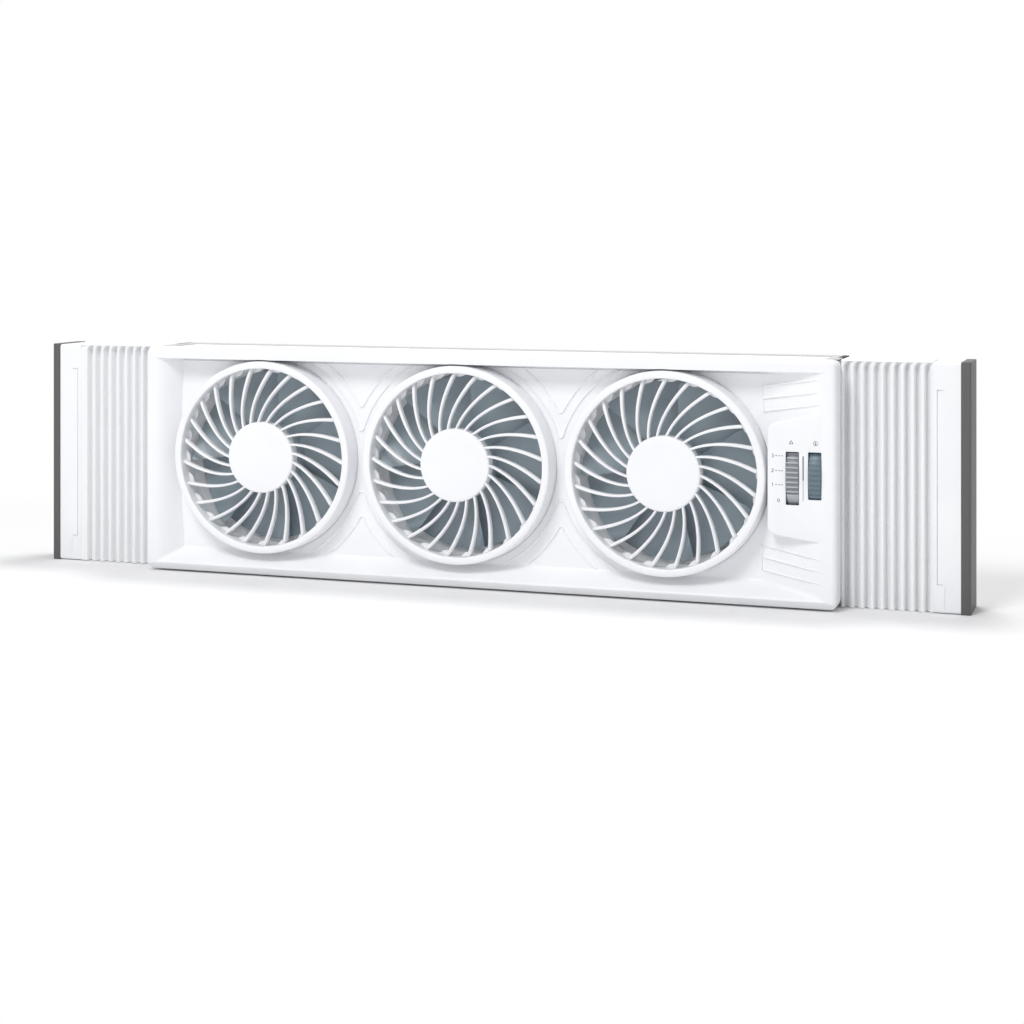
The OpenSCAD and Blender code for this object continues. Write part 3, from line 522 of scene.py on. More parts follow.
# Ink of the dial marks, pad-printed: flat dark grey, with a grain where it wets the texture.
INK = moulded("grey_printing_ink", "#6E7175", "#65686C", 0.6, grain=0.3, relief=0.005)


# ---------------------------------------------------------------- front panel
def eased(t, width):
    """0 for t < 0 and t above it, with the bend drawn as a parabola from -width to width."""
    return np.where(t < -width, 0, np.where(t > width, t, (t + width) ** 2 / (4 * width)))


def ramp(distance, run, start_round, end_round):
    """Climb from 0 to 1 over the run, rounded over start_round and end_round each side of its ends."""
    return (eased(distance, start_round) - eased(distance - run, end_round)) / run


def soft_min(a, b, width):
    """The smaller of two climbs, rounded where they are within width of each other, but not where
    either has ended or both have yet to start."""
    near = np.clip(1 - np.abs(a - b) / width, 0, 1) ** 2 * width / 4
    low, high = np.minimum(a, b), np.maximum(a, b)
    return low - near * np.clip((1 - high) / width, 0, 1) * np.clip(low / width, 0, 1)


# How far each climb is rounded, at its rim and at its foot.
ROUND_LEFT, ROUND_RIGHT, ROUND_BOTTOM, ROUND_TOP = (7.0, 0.8), (2.8, 2.6), (0.9, 1.2), (0.3, 0.3)
LEFT_BULGE, BULGE_HALF = 2.6, 70
GROOVE_D, GROOVE_HALF, GROOVE_Z = 1.3, 0.75, DISH_Z1 - 1.9
CREASE_D, CREASE_HALF, CREASE_TOP = 0.7, 0.8, DISH_Z1 - 9


def hump(t):
    """1 at t = 0, falling to 0 at -1 and 1 along a squared parabola."""
    return np.clip(1 - t ** 2, 0, 1) ** 2


def dish_y(x, z, grow=0.0):
    """Y of the bezel's face at x and z: flat at the rim, and sunk in the dish by its depth times the
    least of four climbs, one from each side. The left climb's foot bows out round the ring. A groove runs
    along the foot of the top wall, and a shallower one down the foot of the left climb. Grow widens the
    dish, for the inside of the wall."""
    bulge = LEFT_BULGE * np.clip(1 - ((z - FAN_Z) / BULGE_HALF) ** 2, 0, 1)
    left = ramp(x - DISH_X0 + grow, SLOPE_LEFT - bulge, *ROUND_LEFT)
    right = ramp(DISH_X1 + grow - x, SLOPE_RIGHT, *ROUND_RIGHT)
    bottom = ramp(z - DISH_Z0 + grow, SLOPE_BOTTOM, *ROUND_BOTTOM)
    top = ramp(DISH_Z1 + grow - z, WALL_RUN, *ROUND_TOP)
    sides = soft_min(left, right, 0.1)
    groove = GROOVE_D * hump((z - GROOVE_Z - grow) / GROOVE_HALF) * np.clip(sides, 0, 1) ** 4
    foot = DISH_X0 + SLOPE_LEFT - bulge - grow
    crease = CREASE_D * hump((x - foot) / CREASE_HALF) * np.clip((CREASE_TOP - z) / 1.5, 0, 1)
    crease = crease * np.clip(bottom, 0, 1) ** 4
    return FRONT + DISH_D * soft_min(soft_min(sides, bottom, 0.3), top, 0.1) + groove + crease


def lines(*stretches):
    """Rising grid lines: each stretch is (end, step), and the first starts at the number before it."""
    start, made = stretches[0], [np.array([stretches[0]])]
    for end, step in stretches[1:]:
        count = max(1, round((end - start) / step))
        made.append(np.linspace(start, end, count + 1)[1:])
        start = end
    return np.concatenate(made)


def border(xs, zs, steps=8):
    """Points round a rectangle of grid lines, with the angle that each faces. A corner is repeated
    while its angle turns a quarter."""
    low_x, high_x, low_z, high_z = xs[0], xs[-1], zs[0], zs[-1]
    sides = [(xs, 0 * xs + low_z, -90), (0 * zs + high_x, zs, 0),
             (xs[::-1], 0 * xs + high_z, 90), (0 * zs + low_x, zs[::-1], 180)]
    turn = np.linspace(0, 90, steps + 1)[1:-1]
    x, z, angle = [], [], []
    for side_x, side_z, facing in sides:
        x += [side_x, np.full(len(turn), side_x[-1])]
        z += [side_z, np.full(len(turn), side_z[-1])]
        angle += [np.full(len(side_x), float(facing)), facing + turn]
    return np.concatenate(x), np.concatenate(z), np.radians(np.concatenate(angle))


def rounded_rings(us, vs, inset, section, axis, steps=8):
    """Grid of rings round a rounded rectangle whose straight sides end at us and vs, its outside inset
    from them. Each section point (i, w) makes the ring i inside the outside, at w on the axis."""
    u, v, angle = border(us, vs, steps)
    rings = []
    for i, w in section:
        ring = np.stack([u + np.cos(angle) * (inset - i), v + np.sin(angle) * (inset - i)], 1)
        rings.append(np.insert(ring, axis, w, axis=1))
    return np.stack(rings)


CORNER_R = 6.0
SIDE_ROLL, TOP_ROLL, BOTTOM_ROLL = 3.5, 2.8, 5.9
BOTTOM_CHAMFER = 0.65
LIP_EASE = 0.35


def bezel_rim(xs, zs, inner_y):
    """The bezel's rolled edge, swept round the sheet's border: out over the roll, a quarter circle whose
    radius differs at the top, the sides and the bottom, and which nears a straight chamfer along the
    bottom, down the side to the seam, and back up inside the wall to the border of the inner sheet."""
    x, z, angle = border(xs, zs)
    out_x, out_z = np.cos(angle), np.sin(angle)
    roll = SIDE_ROLL * out_x ** 2 + np.where(out_z > 0, TOP_ROLL, BOTTOM_ROLL) * out_z ** 2
    a = np.linspace(0, math.pi / 2, 9)[:, None]
    power = 1 + BOTTOM_CHAMFER * np.clip(-out_z, 0, 1) ** 2
    inset = np.concatenate([0 * x[None] + CORNER_R, roll * (1 - np.sin(a) ** power)])
    depth = np.concatenate([0 * x[None], roll * (1 - np.cos(a) ** power)])
    tail = np.array([(0, DISH_D - LIP_EASE), (LIP_EASE * 0.3, DISH_D - LIP_EASE * 0.3),
                     (LIP_EASE, DISH_D), (WALL, DISH_D), (WALL, WALL + 2), (WALL + 2, WALL)])
    inset = np.concatenate([inset, 0 * x + tail[:, :1]])
    depth = np.concatenate([depth, 0 * x + tail[:, 1:]])
    offset = CORNER_R - inset
    points = np.stack([x + out_x * offset, FRONT + depth, z + out_z * offset], -1)
    last = np.stack([x, inner_y(x, z), z], -1)[None]
    return grid(np.concatenate([points, last]), wrap_columns=True)


# The inside of the wall: how far it stands out sideways from the face, and back from it.
INNER_GROW, INNER_BACK = 1.8, WALL - 0.3


def dish_sheet():
    """The bezel's face and the inside of its wall: two grids of points with the same lines, closer
    where the surface bends, and the rolled edge that joins them."""
    xs = lines(-HALF_W + CORNER_R, (DISH_X0 + 6, 0.55), (DISH_X0 + SLOPE_LEFT + 1.2, 0.3),
               (FLOOR_X1 - 3.2, 7), (FLOOR_X1 + 3.2, 0.8), (DISH_X1 - 3.2, 2.4), (HALF_W - CORNER_R, 0.4))
    zs = lines(BEZEL_Z0 + CORNER_R, (DISH_Z0 + 1, 0.25), (DISH_Z0 + SLOPE_BOTTOM - 1.4, 0.75),
               (DISH_Z0 + SLOPE_BOTTOM + 1.4, 0.25), (DISH_Z1 - 3.0, 6), (DISH_Z1 + 0.4, 0.12),
               (BEZEL_Z1 - CORNER_R, 0.3))
    x, z = np.meshgrid(xs, zs, indexing="ij")

    def inner_y(at_x, at_z):
        return dish_y(at_x, at_z, INNER_GROW) + INNER_BACK

    face = grid(np.stack([x, dish_y(x, z), z], -1))
    inside = grid(np.stack([x, inner_y(x, z), z], -1))
    return [face, inside, bezel_rim(xs, zs, inner_y)]


# Steps between the rings: 1 above the fans' axes or -1 below them, radius, height of the V's tip over
# the axes, and reach each way. STEP_X moves them off the middle between two fans.
STEPS = [(-1, 84.4, 25.7, 47.0), (-1, 93.2, 45.1, 31.0), (1, 83.6, 22.5, 47.0), (1, 90.9, 41.4, 31.0)]
STEP_X = -2.0
# A raised line's half width, its height, and the share of the height that is sunk in the face.
BEAD_HALF, BEAD_H, BEAD_SUNK = 1.0, 2.0, 0.3


def bead(path, fade):
    """Raised line on the bezel's face: a domed section, its lower part sunk in the face, carried along a
    path of (x, z) points. It shrinks away over the first length of fade at its start, and over the
    second at its end."""
    path = np.array(path, float)
    step = np.linalg.norm(np.diff(path, axis=0), axis=1)
    run = np.concatenate([[0], np.cumsum(step)])
    rise = np.minimum(np.clip(run / fade[0], 0, 1), np.clip((run[-1] - run) / fade[1], 0, 1))
    rise = np.sin(rise * math.pi / 2)
    on_face = np.stack([path[:, 0], dish_y(path[:, 0], path[:, 1]), path[:, 1]], 1)
    tangent = np.gradient(on_face, axis=0)
    side = np.cross(tangent, [0, 1, 0])
    s = np.linspace(-1, 1, 11)
    base = np.stack([s[::-1], 0 * s - BEAD_SUNK], 1)[1:-1]
    section = np.concatenate([np.stack([s, 1 - s ** 2 - BEAD_SUNK], 1), base])
    scale = np.stack([BEAD_HALF * (0.35 + 0.65 * rise), BEAD_H * np.maximum(rise, 0.02)], 1)
    return swept(on_face, side, section[None] * scale[:, None])


def step_beads():
    """Raised lines between the rings, which meet in rounded Vs above and below. Each is the arc of a
    circle about a fan's axis, and its mirror image. A small circle, which touches both arcs and passes
    through the V's tip, joins them."""
    made = []
    half = FAN_PITCH / 2
    for up, r, tip, reach in STEPS:
        bend = (half ** 2 + tip ** 2 - r ** 2) / (2 * (r - tip))
        touch = bend * half / (r + bend)
        dx = reach * np.linspace(-1, 1, 101) * np.abs(np.linspace(-1, 1, 101)) ** 0.4
        arc_part = np.sqrt(np.maximum(r ** 2 - (half - np.abs(dx)) ** 2, 0))
        bend_part = tip + bend - np.sqrt(np.maximum(bend ** 2 - dx ** 2, 0))
        height = np.where(np.abs(dx) < touch, bend_part, arc_part)
        for x in BETWEEN_X:
            made.append(bead(np.stack([x + STEP_X + dx, FAN_Z + up * height], 1), (9, 9)))
    return made


# The combs: where their backs and their rim ends stand, how far the upper one's back leans out for each
# mm down, and each tooth's height at its back and at its rim end.
COMB_X = (222.5, 270.0)
COMB_LEAN = 0.1
COMB_TOP = [(160.8, 168.3), (151.9, 158.9), (142.3, 150.1)]
COMB_LOW = [(44.6, 37.7), (35.8, 29.0), (26.2, 20.3)]


def comb_beads():
    """Raised lines that climb the right-hand slope in two combs, above and below the control plate.
    Each tooth is a straight line from the comb's back to the rim, where it fades."""
    made = []
    for teeth in (COMB_TOP, COMB_LOW):
        for z_left, z_right in teeth:
            x = np.linspace(COMB_X[0] + 0.4, COMB_X[1], 40)
            z = np.interp(x, COMB_X, (z_left, z_right))
            made.append(bead(np.stack([x, z], 1), (0.6, 14)))
        z = np.linspace(teeth[0][0], teeth[-1][0], 30)
        lean = COMB_LEAN * (teeth[0][0] - z) if teeth is COMB_TOP else 0 * z
        made.append(bead(np.stack([COMB_X[0] + lean, z], 1), (0.8, 0.8)))
    return made


PLATE_X0 = FLOOR_X1 + 7.6
PLATE_OUTLINE = [(PLATE_X0, AXLE_Z - 39), (PLATE_X0 + 4.4, AXLE_Z - 42.4), (DISH_X1 + 0.2, AXLE_Z - 47.8),
                 (DISH_X1 + 0.2, AXLE_Z + 49.1), (PLATE_X0 + 2.2, AXLE_Z + 38.4), (PLATE_X0, AXLE_Z + 33.8)]
# The windows: middle, height, and how far they stand over the axle.
WINDOW_GAP = 0.5
WINDOWS = {"speed": (SPEED_X, 38.6, -0.9), "heat": (HEAT_X, 34.4, 1.3)}
PLATE_CORNER_R = np.array([7, 5, 2.5, 2.5, 5, 8])
PLATE_ROLL = 1.7


def window(name, grow=0.0):
    """Rounded outline of a window, widened by grow."""
    x, height, lift = WINDOWS[name]
    half_w, half_h, z = WHEEL_W / 2 + WINDOW_GAP + grow, height / 2 + grow, AXLE_Z + lift
    return outline(rectangle(x - half_w, x + half_w, z - half_h, z + half_h), 0.8 + grow, 4)


def plate_loop(distance, stretch=0.0):
    """The plate's outline drawn in by a distance: each corner slides along its bisector, and its
    rounding shrinks with it. Stretch moves the right-hand edge outwards first."""
    points = np.array(PLATE_OUTLINE, float)
    points[2:4, 0] += stretch
    along = np.roll(points, -1, 0) - points
    along /= np.linalg.norm(along, axis=1)[:, None]
    normal = np.stack([-along[:, 1], along[:, 0]], 1)
    before = np.roll(normal, 1, 0)
    share = 1 + (normal * before).sum(1)
    slide = (normal + before) / share[:, None] * distance
    shrink = distance * np.sqrt((2 - share) / share)
    return outline(points + slide, np.maximum(PLATE_CORNER_R - shrink, 0.4), 7)


def flat_cap(loops, y):
    """Flat face at y bounded by one outer loop and the holes in it, filled with triangles."""
    starts = np.cumsum([0] + [len(loop) for loop in loops])
    turns = [start + np.arange(len(loop)) for loop, start in zip(loops, starts)]
    edges = np.concatenate([np.stack([turn, np.roll(turn, -1)], 1) for turn in turns])
    mesh = bpy.data.meshes.new("cap")
    mesh.from_pydata(np.insert(np.concatenate(loops), 1, y, axis=1).tolist(), edges.tolist(), [])
    shell = bmesh.new()
    shell.from_mesh(mesh)
    bmesh.ops.triangle_fill(shell, use_beauty=True, edges=shell.edges)
    shell.to_mesh(mesh)
    shell.free()
    points, faces = np.empty(3 * len(mesh.vertices), np.float32), np.empty(len(mesh.loops), np.int32)
    mesh.vertices.foreach_get("co", points)
    mesh.loops.foreach_get("vertex_index", faces)
    bpy.data.meshes.remove(mesh)
    return points.reshape(-1, 3).astype(float), [faces.reshape(-1, 3)]


def control_plate():
    """Plate round the thumbwheels: a flat face with two windows, an edge rolled over a quarter circle, a
    skirt that goes down into the slope, and the same again inside the wall."""
    a = np.linspace(0, math.pi / 2, 7)
    roll = [(PLATE_ROLL * (1 - math.sin(t)), PLATE_Y + PLATE_ROLL * (1 - math.cos(t))) for t in a]
    skirt = roll + [(0, FLOOR + 1), (WALL, FLOOR + 1), (WALL, PLATE_Y + PLATE_T)]
    wall = [np.insert(plate_loop(inset), 1, y, axis=1) for inset, y in skirt]
    holes = []
    for name in WINDOWS:
        lip = [(0.35, 0.0), (0.1, 0.1), (0.0, 0.35), (0.0, PLATE_T)]
        rings = [np.insert(window(name, grow), 1, PLATE_Y + depth, axis=1) for grow, depth in lip]
        holes.append(grid(np.stack(rings), wrap_columns=True))
    face = flat_cap([plate_loop(PLATE_ROLL)] + [window(n, 0.35) for n in WINDOWS], PLATE_Y)
    inside = flat_cap([plate_loop(WALL)] + [window(n) for n in WINDOWS], PLATE_Y + PLATE_T)
    return [grid(np.stack(wall), wrap_columns=True), face, inside] + holes


PILOT_R = 1.55


def post(x, z, r, y0, y1):
    """Round post along Y with softened ends and a screw's pilot hole."""
    return turned(outline([(r, y0), (r, y1), (PILOT_R, y1), (PILOT_R, y0)], 0.3, 3), x, z, 32)


SEAT_D = 0.7


def front_panel():
    """Bezel: its sheet, cut through under the fans and the plate and sunk where the rings stand, with the
    raised lines, the control plate and the screw posts."""
    bezel = mesh_of("bezel", dish_sheet(), 30)
    through = FRONT - 5, FLOOR + 6
    cutters = [prism(circle(HOLE_R, FAN_X[k], FAN_Z, 128), *through) for k in FANS]
    cutters += [prism(circle(RING_FOOT_R + 0.7, FAN_X[k], FAN_Z, 160), through[0], FLOOR + SEAT_D)
                for k in FANS]
    cutters.append(prism(plate_loop(WALL, WALL - 1.3), *through))
    cut(bezel, cutters, 30)
    posts = [post(x, z, POST_R - 0.5, root + 2.3, POST_WEB_Y - POST_WEB_T)
             for spots, root in ((FLOOR_POSTS, FLOOR), (SIDE_POSTS, FRONT)) for x, z in spots]
    add_parts(bezel, "bezel_trim", step_beads() + comb_beads() + control_plate() + posts)
    return place(bezel, "housing", WHITE_ABS, "white_plastic", "front_panel")


# ---------------------------------------------------------------- grilles
LIP_Y = FRONT - 0.5
RING_BACK = -14.0
DISC_ROLL = 1.6
DISC_CROWN = 0.7
RIB_BACK = FRONT + 10.2
RIB_DEPTH = 4.8
RIB_HALF, RIB_WIDEN = 0.85, 0.5
RIB_FALL, TIP_FALL = 2.4, 2.6


def rib_angle(r):
    """Angle of a rib at radius r: it turns backwards with the share of the way out, less and less."""
    u = (r - DISC_R) / (OPENING_R - DISC_R)
    return -RIB_TURN[0] * u - RIB_TURN[1] * u ** 2


def ring_profile():
    """Section of a ring as (radius, y): the opening's wall, a crowned lip, the outer skirt down to the
    dish floor, and the spigot through it."""
    mid = (OPENING_R + RING_R) / 2
    foot = FLOOR + 0.65
    corner = [(OPENING_R, RING_BACK), (OPENING_R, LIP_Y + 0.2), (mid, LIP_Y - 0.35),
              (RING_R, LIP_Y + 0.2), (RING_FOOT_R, foot), (RING_FOOT_R - 2, foot),
              (RING_R - 2, LIP_Y + 2.6), (SPIGOT_R, LIP_Y + 2.6), (SPIGOT_R, RING_BACK)]
    return outline(corner, [0.4, 1.0, 3, 1.2, 0.2, 0.4, 0.6, 0.6, 0.4], 7)


def disc_profile():
    """Section of the hub disc: a face that bows out by 0.7 mm, a rolled edge and a skirt."""
    r = np.linspace(0, DISC_R - DISC_ROLL, 8)
    face = np.stack([r, FRONT - 1 + DISC_CROWN * (r / DISC_R) ** 2], 1)
    a = np.linspace(0.15, 1, 6) * math.pi / 2
    roll = np.stack([DISC_R - DISC_ROLL * (1 - np.sin(a)),
                     FRONT - DISC_CROWN / 2 + DISC_ROLL * (1 - np.cos(a))], 1)
    skirt = [(DISC_R, FRONT + 9), (DISC_R - 2, FRONT + 9), (DISC_R - 2, FRONT + 2), (0, FRONT + 2)]
    return np.concatenate([face, roll, skirt])


def rib(index):
    """One rib: a blade with a half-round front edge, carried along its spiral from the disc's skirt to
    the ring. Its front edge falls back towards the ring, and it widens on the way out, up to a rounded
    end."""
    long_part = np.linspace(DISC_R - 1.2, OPENING_R - 4, 20)
    r = np.concatenate([long_part, np.linspace(OPENING_R - 3.2, OPENING_R + 1, 9)])
    u = (r - DISC_R) / (OPENING_R - DISC_R)
    angle = rib_angle(r) + index * 2 * math.pi / RIBS
    slant = np.arctan(r * (RIB_TURN[0] + 2 * RIB_TURN[1] * u) / (OPENING_R - DISC_R))
    out = np.stack([np.cos(angle), np.sin(angle)], 1)
    cross = np.stack([-np.sin(angle - slant), np.cos(angle - slant)], 1)
    tip = np.clip((r - OPENING_R + 2.4) / 2.9, 0, 1)
    half = (RIB_HALF + RIB_WIDEN * np.clip(u, 0, 1)) * np.sqrt(1 - 0.85 * tip ** 2)
    front = FRONT + 0.4 + RIB_FALL * np.clip(u, 0, 1) ** 1.6 + TIP_FALL * tip ** 2
    back = np.minimum(front + RIB_DEPTH, RIB_BACK)
    a = np.linspace(0, math.pi, 9)
    side = np.concatenate([np.cos(a), [-1, -0.8, 0.8, 1]])
    y_round = front[:, None] + half[:, None] * (1 - np.sin(a))
    y = np.concatenate([y_round, back[:, None] - np.array([0.25, 0, 0, 0.25])], axis=1)
    flat = out[:, None] * r[:, None, None] + cross[:, None] * (half[:, None] * side)[..., None]
    return tube(np.stack([flat[..., 0], y, flat[..., 1]], -1))


TAB_R = (OPENING_R - 2.9, OPENING_R + 0.6)
TAB_Y = (RIB_BACK - 0.6, RIB_BACK + 1.2)
TAB_SPAN = (5.6, 7.2)


def rib_tab(index):
    """Flat tab in the corner between a rib's end and the ring, on its clockwise side."""
    angle = rib_angle(np.array(TAB_R)) + index * 2 * math.pi / RIBS
    spots = [(TAB_R[0], angle[0] + 0.004), (TAB_R[0], angle[0] - TAB_SPAN[0] / TAB_R[0]),
             (TAB_R[1], angle[1] - TAB_SPAN[1] / TAB_R[1] - 0.02), (TAB_R[1], angle[1] + 0.004)]
    loop = [(r * math.cos(a), r * math.sin(a)) for r, a in spots]
    return prism(outline(loop, [0.3, 1.6, 0.8, 0.3], 5), *TAB_Y)


def at_fan(k, parts):
    """The parts, moved from the origin to a fan's axis."""
    return [moved(part, FAN_X[k], 0, FAN_Z) for part in parts]


def grille(k):
    """Front grille: a ring, a hub disc, and the ribs between them, turned to where the first one stands."""
    parts = [turned(ring_profile(), segments=192), turned(disc_profile(), segments=96, closed=False)]
    ribs = [rib(i) for i in range(RIBS)] + [rib_tab(i) for i in range(RIBS)]
    parts += [about_y(part, RIB_PHASE[k]) for part in ribs]
    piece = mesh_of("grille_" + k, at_fan(k, parts), 40)
    return place(piece, "housing", WHITE_ABS, "white_plastic", "front_grille_" + k)


# ---------------------------------------------------------------- fans
HUB_R = 26.0
HUB_Y0, HUB_Y1 = FRONT + 17, 4.0
BLADES = 7
BLADE_Y = -6.0
BLADE_T = 1.6
BLADE_MORE = 1.0
BLADE_HALF = math.radians(31)
BLADE_PITCH = math.radians(12)
CAMBER_R = 75.0
SHAFT_R = 2.5


def blade(index):
    """One fan blade on a grid of radius and chord. Its surface is part of a round tube about a radial
    axis, so the pitch grows towards one edge. It reaches a little over its neighbours, the corners of its
    tip are just eased, and its thickness is an ellipse along the chord."""
    u = np.concatenate([np.linspace(0, 0.9, 12), 1 - 0.1 * np.cos(np.linspace(0.3, 1, 6) * math.pi / 2)])
    v = np.sin(np.linspace(-1, 1, 25) * math.pi / 2)
    u, v = np.meshgrid(u, v, indexing="ij")
    r = HUB_R - 0.8 + u * (BLADE_R + BLADE_MORE - HUB_R + 0.8)
    corner = 1 - 0.05 * np.clip((u - 0.84) / 0.16, 0, 1) ** 3
    angle = v * BLADE_HALF * (0.95 + 0.05 * u) * corner
    across = r * np.sin(angle) + CAMBER_R * math.sin(BLADE_PITCH)
    y = BLADE_Y - CAMBER_R * math.cos(BLADE_PITCH) + np.sqrt(CAMBER_R ** 2 - across ** 2)
    thick = BLADE_T / 2 * np.sqrt(np.clip(1 - v ** 2, 0, 1)) * (1.2 - 0.4 * u) + 0.15
    angle = angle + index * 2 * math.pi / BLADES
    sides = [np.stack([r * np.cos(angle), y + s * thick, r * np.sin(angle)], -1) for s in (-1, 1)]
    return tube(np.concatenate([sides[0], sides[1][:, ::-1]], axis=1))


def fan(k):
    """Rotor: a cup-shaped hub turned about the shaft, with a boss inside it, and seven blades."""
    hub = outline([(SHAFT_R, HUB_Y0), (HUB_R, HUB_Y0), (HUB_R, HUB_Y1), (HUB_R - 2.5, HUB_Y1),
                   (HUB_R - 2.5, HUB_Y0 + 2.5), (6, HUB_Y0 + 2.5), (6, HUB_Y1 - 1), (SHAFT_R, HUB_Y1 - 1)],
                  [0.2, 2.6, 0.5, 0.5, 1.2, 1, 0.4, 0.2], 6)
    parts = [turned(hub, segments=96)] + [blade(i) for i in range(BLADES)]
    piece = mesh_of("rotor_" + k, at_fan(k, parts), 40)
    return place(piece, k + "_rotor", FAN_SLATE, "fan_plastic", "fan_" + k)


# ---------------------------------------------------------------- rear guards
GUARD_IN_R = OPENING_R - 3.3
GUARD_PLATE_R = 22.0
GUARD_RINGS = 8
GUARD_SPOKES = 8
GUARD_T = 6.0
PLATE_DIP = 1.8
WIRE_R = 0.9
SPOKE_T = 2.6
MOTOR_SCREW_AT = 11.5


def wire_ring(r, y):
    """Ring of oval wire, a fifth deeper than it is wide."""
    a = np.linspace(0, 2 * math.pi, 12, endpoint=False)
    return turned(np.stack([r + WIRE_R * np.cos(a), y + WIRE_R * 1.2 * np.sin(a)], 1), segments=120)


def spoke(angle):
    """Straight spoke from the motor plate to the rim, with a rounded section."""
    section = outline(rectangle(-SPOKE_T / 2, SPOKE_T / 2, BACK - GUARD_T, BACK - 0.3), 1.0, 4)
    ends = GUARD_PLATE_R - 1.5, GUARD_IN_R + 1.5
    return about_y(tube(np.stack([np.insert(section[:, ::-1], 0, r, axis=1) for r in ends])), angle)


def rear_guard(k):
    """Rear guard: a rim with four screw lugs, a recessed plate that carries the motor, wire rings at even
    distances between them, spokes, and a cap over the shaft's end."""
    rim = outline([(GUARD_IN_R, BACK - WALL), (GUARD_IN_R, BACK), (FLANGE_R, BACK), (FLANGE_R, BACK - WALL)],
                  [0.4, 1.2, 0.5, 0.3], 5)
    plate = outline([(4, BACK - GUARD_T), (GUARD_PLATE_R, BACK - GUARD_T), (GUARD_PLATE_R, BACK),
                     (14.8, BACK), (14.8, BACK - PLATE_DIP), (8, BACK - PLATE_DIP), (8, BACK), (4, BACK)],
                    [0.3, 0.6, 1.5, 0.5, 0.3, 0.3, 0.5, 0.4], 5)
    lug = outline([(LUG_R - 0.3, BACK - WALL), (LUG_R - 0.3, BACK), (1.7, BACK), (1.7, BACK - WALL)],
                  [0.2, 0.5, 0.2, 0.2], 4)
    cap = outline([(0, BACK - 4), (4.2, BACK - 4), (4.2, BACK - 0.2), (0, BACK)], [0, 0.2, 0.8, 0], 4)
    pitch = (GUARD_IN_R - GUARD_PLATE_R) / (GUARD_RINGS + 1)
    parts = [turned(rim, segments=160), turned(plate, segments=96)]
    parts += [wire_ring(GUARD_PLATE_R + i * pitch, BACK - 2.5) for i in range(1, GUARD_RINGS + 1)]
    parts += [spoke((i + 0.5) * 2 * math.pi / GUARD_SPOKES) for i in range(GUARD_SPOKES)]
    parts += [turned(lug, x, z, 40) for x, z in LUG_SPOTS]
    parts.append(turned(cap, segments=48, closed=False))
    piece = mesh_of("guard_" + k, at_fan(k, parts), 40)
    return place(piece, "housing", WHITE_ABS, "white_plastic", "rear_guard_" + k)


# ---------------------------------------------------------------- rear shell
SHELL_ROLL = 3.0
SHELL_INSET = 5.0
BACK_WALL_Y = BACK - WALL
DUCT_Y0 = -13.7
SEAL_Y = BACK - 7
SCREW_HOLE_R = 3.3
INLET_LOW, INLET_HIGH = corners("cord_grommet")
INLET_R = 5.4
RAILS = [(name, side, level) for name, side in PANELS.items() for level in ("upper", "lower")]
RAIL_GAP = 0.4
CRADLE_T, CRADLE_L = 2.0, 60.0


def shell_wall():
    """Rear shell: a rounded box open at the seam. Its section runs down the side, round the back edge in
    a quarter circle, and back inside the wall."""
    inset = SHELL_INSET
    xs = np.array([-SHELL_X + inset, SHELL_X - inset])
    zs = np.array([SHELL_Z0 + inset, SHELL_Z1 - inset])
    edge = [(WALL, SEAM), (0.5, SEAM), (0.15, SEAM + 0.15), (0, SEAM + 0.5)]
    edge += [(SHELL_ROLL * (1 - math.cos(t)), BACK - SHELL_ROLL * (1 - math.sin(t)))
             for t in np.linspace(0, math.pi / 2, 7)] + [(inset, BACK)]
    back = [(inset, BACK_WALL_Y), (WALL + 1.5, BACK_WALL_Y), (WALL, BACK_WALL_Y - 1.5), (WALL, SEAM)]
    walls = [grid(rounded_rings(xs, zs, inset, part, 1), wrap_columns=True) for part in (edge, back)]
    return walls + [quad([(x, y, z) for x, z in rectangle(*xs, *zs)]) for y in (BACK, BACK_WALL_Y)]


def shroud_parts(k):
    """Duct round a fan, the ledge that its guard rests on, and the posts for the guard's screws."""
    root, duct_r, ledge_r = BACK_WALL_Y + 0.1, OPENING_R + 2, FLANGE_R + WALL
    duct = outline([(OPENING_R, DUCT_Y0), (duct_r, DUCT_Y0), (duct_r, root), (OPENING_R, root)],
                   [0.6, 0.6, 0, 0], 4)
    ledge = [(OPENING_R, BACK_WALL_Y - 2), (ledge_r, BACK_WALL_Y - 2), (ledge_r, root), (OPENING_R, root)]
    parts = [turned(duct, segments=160), turned(ledge, segments=160)]
    parts += [post(x, z, POST_R, BACK_WALL_Y - 12, BACK_WALL_Y - 0.1) for x, z in LUG_SPOTS]
    return at_fan(k, parts)


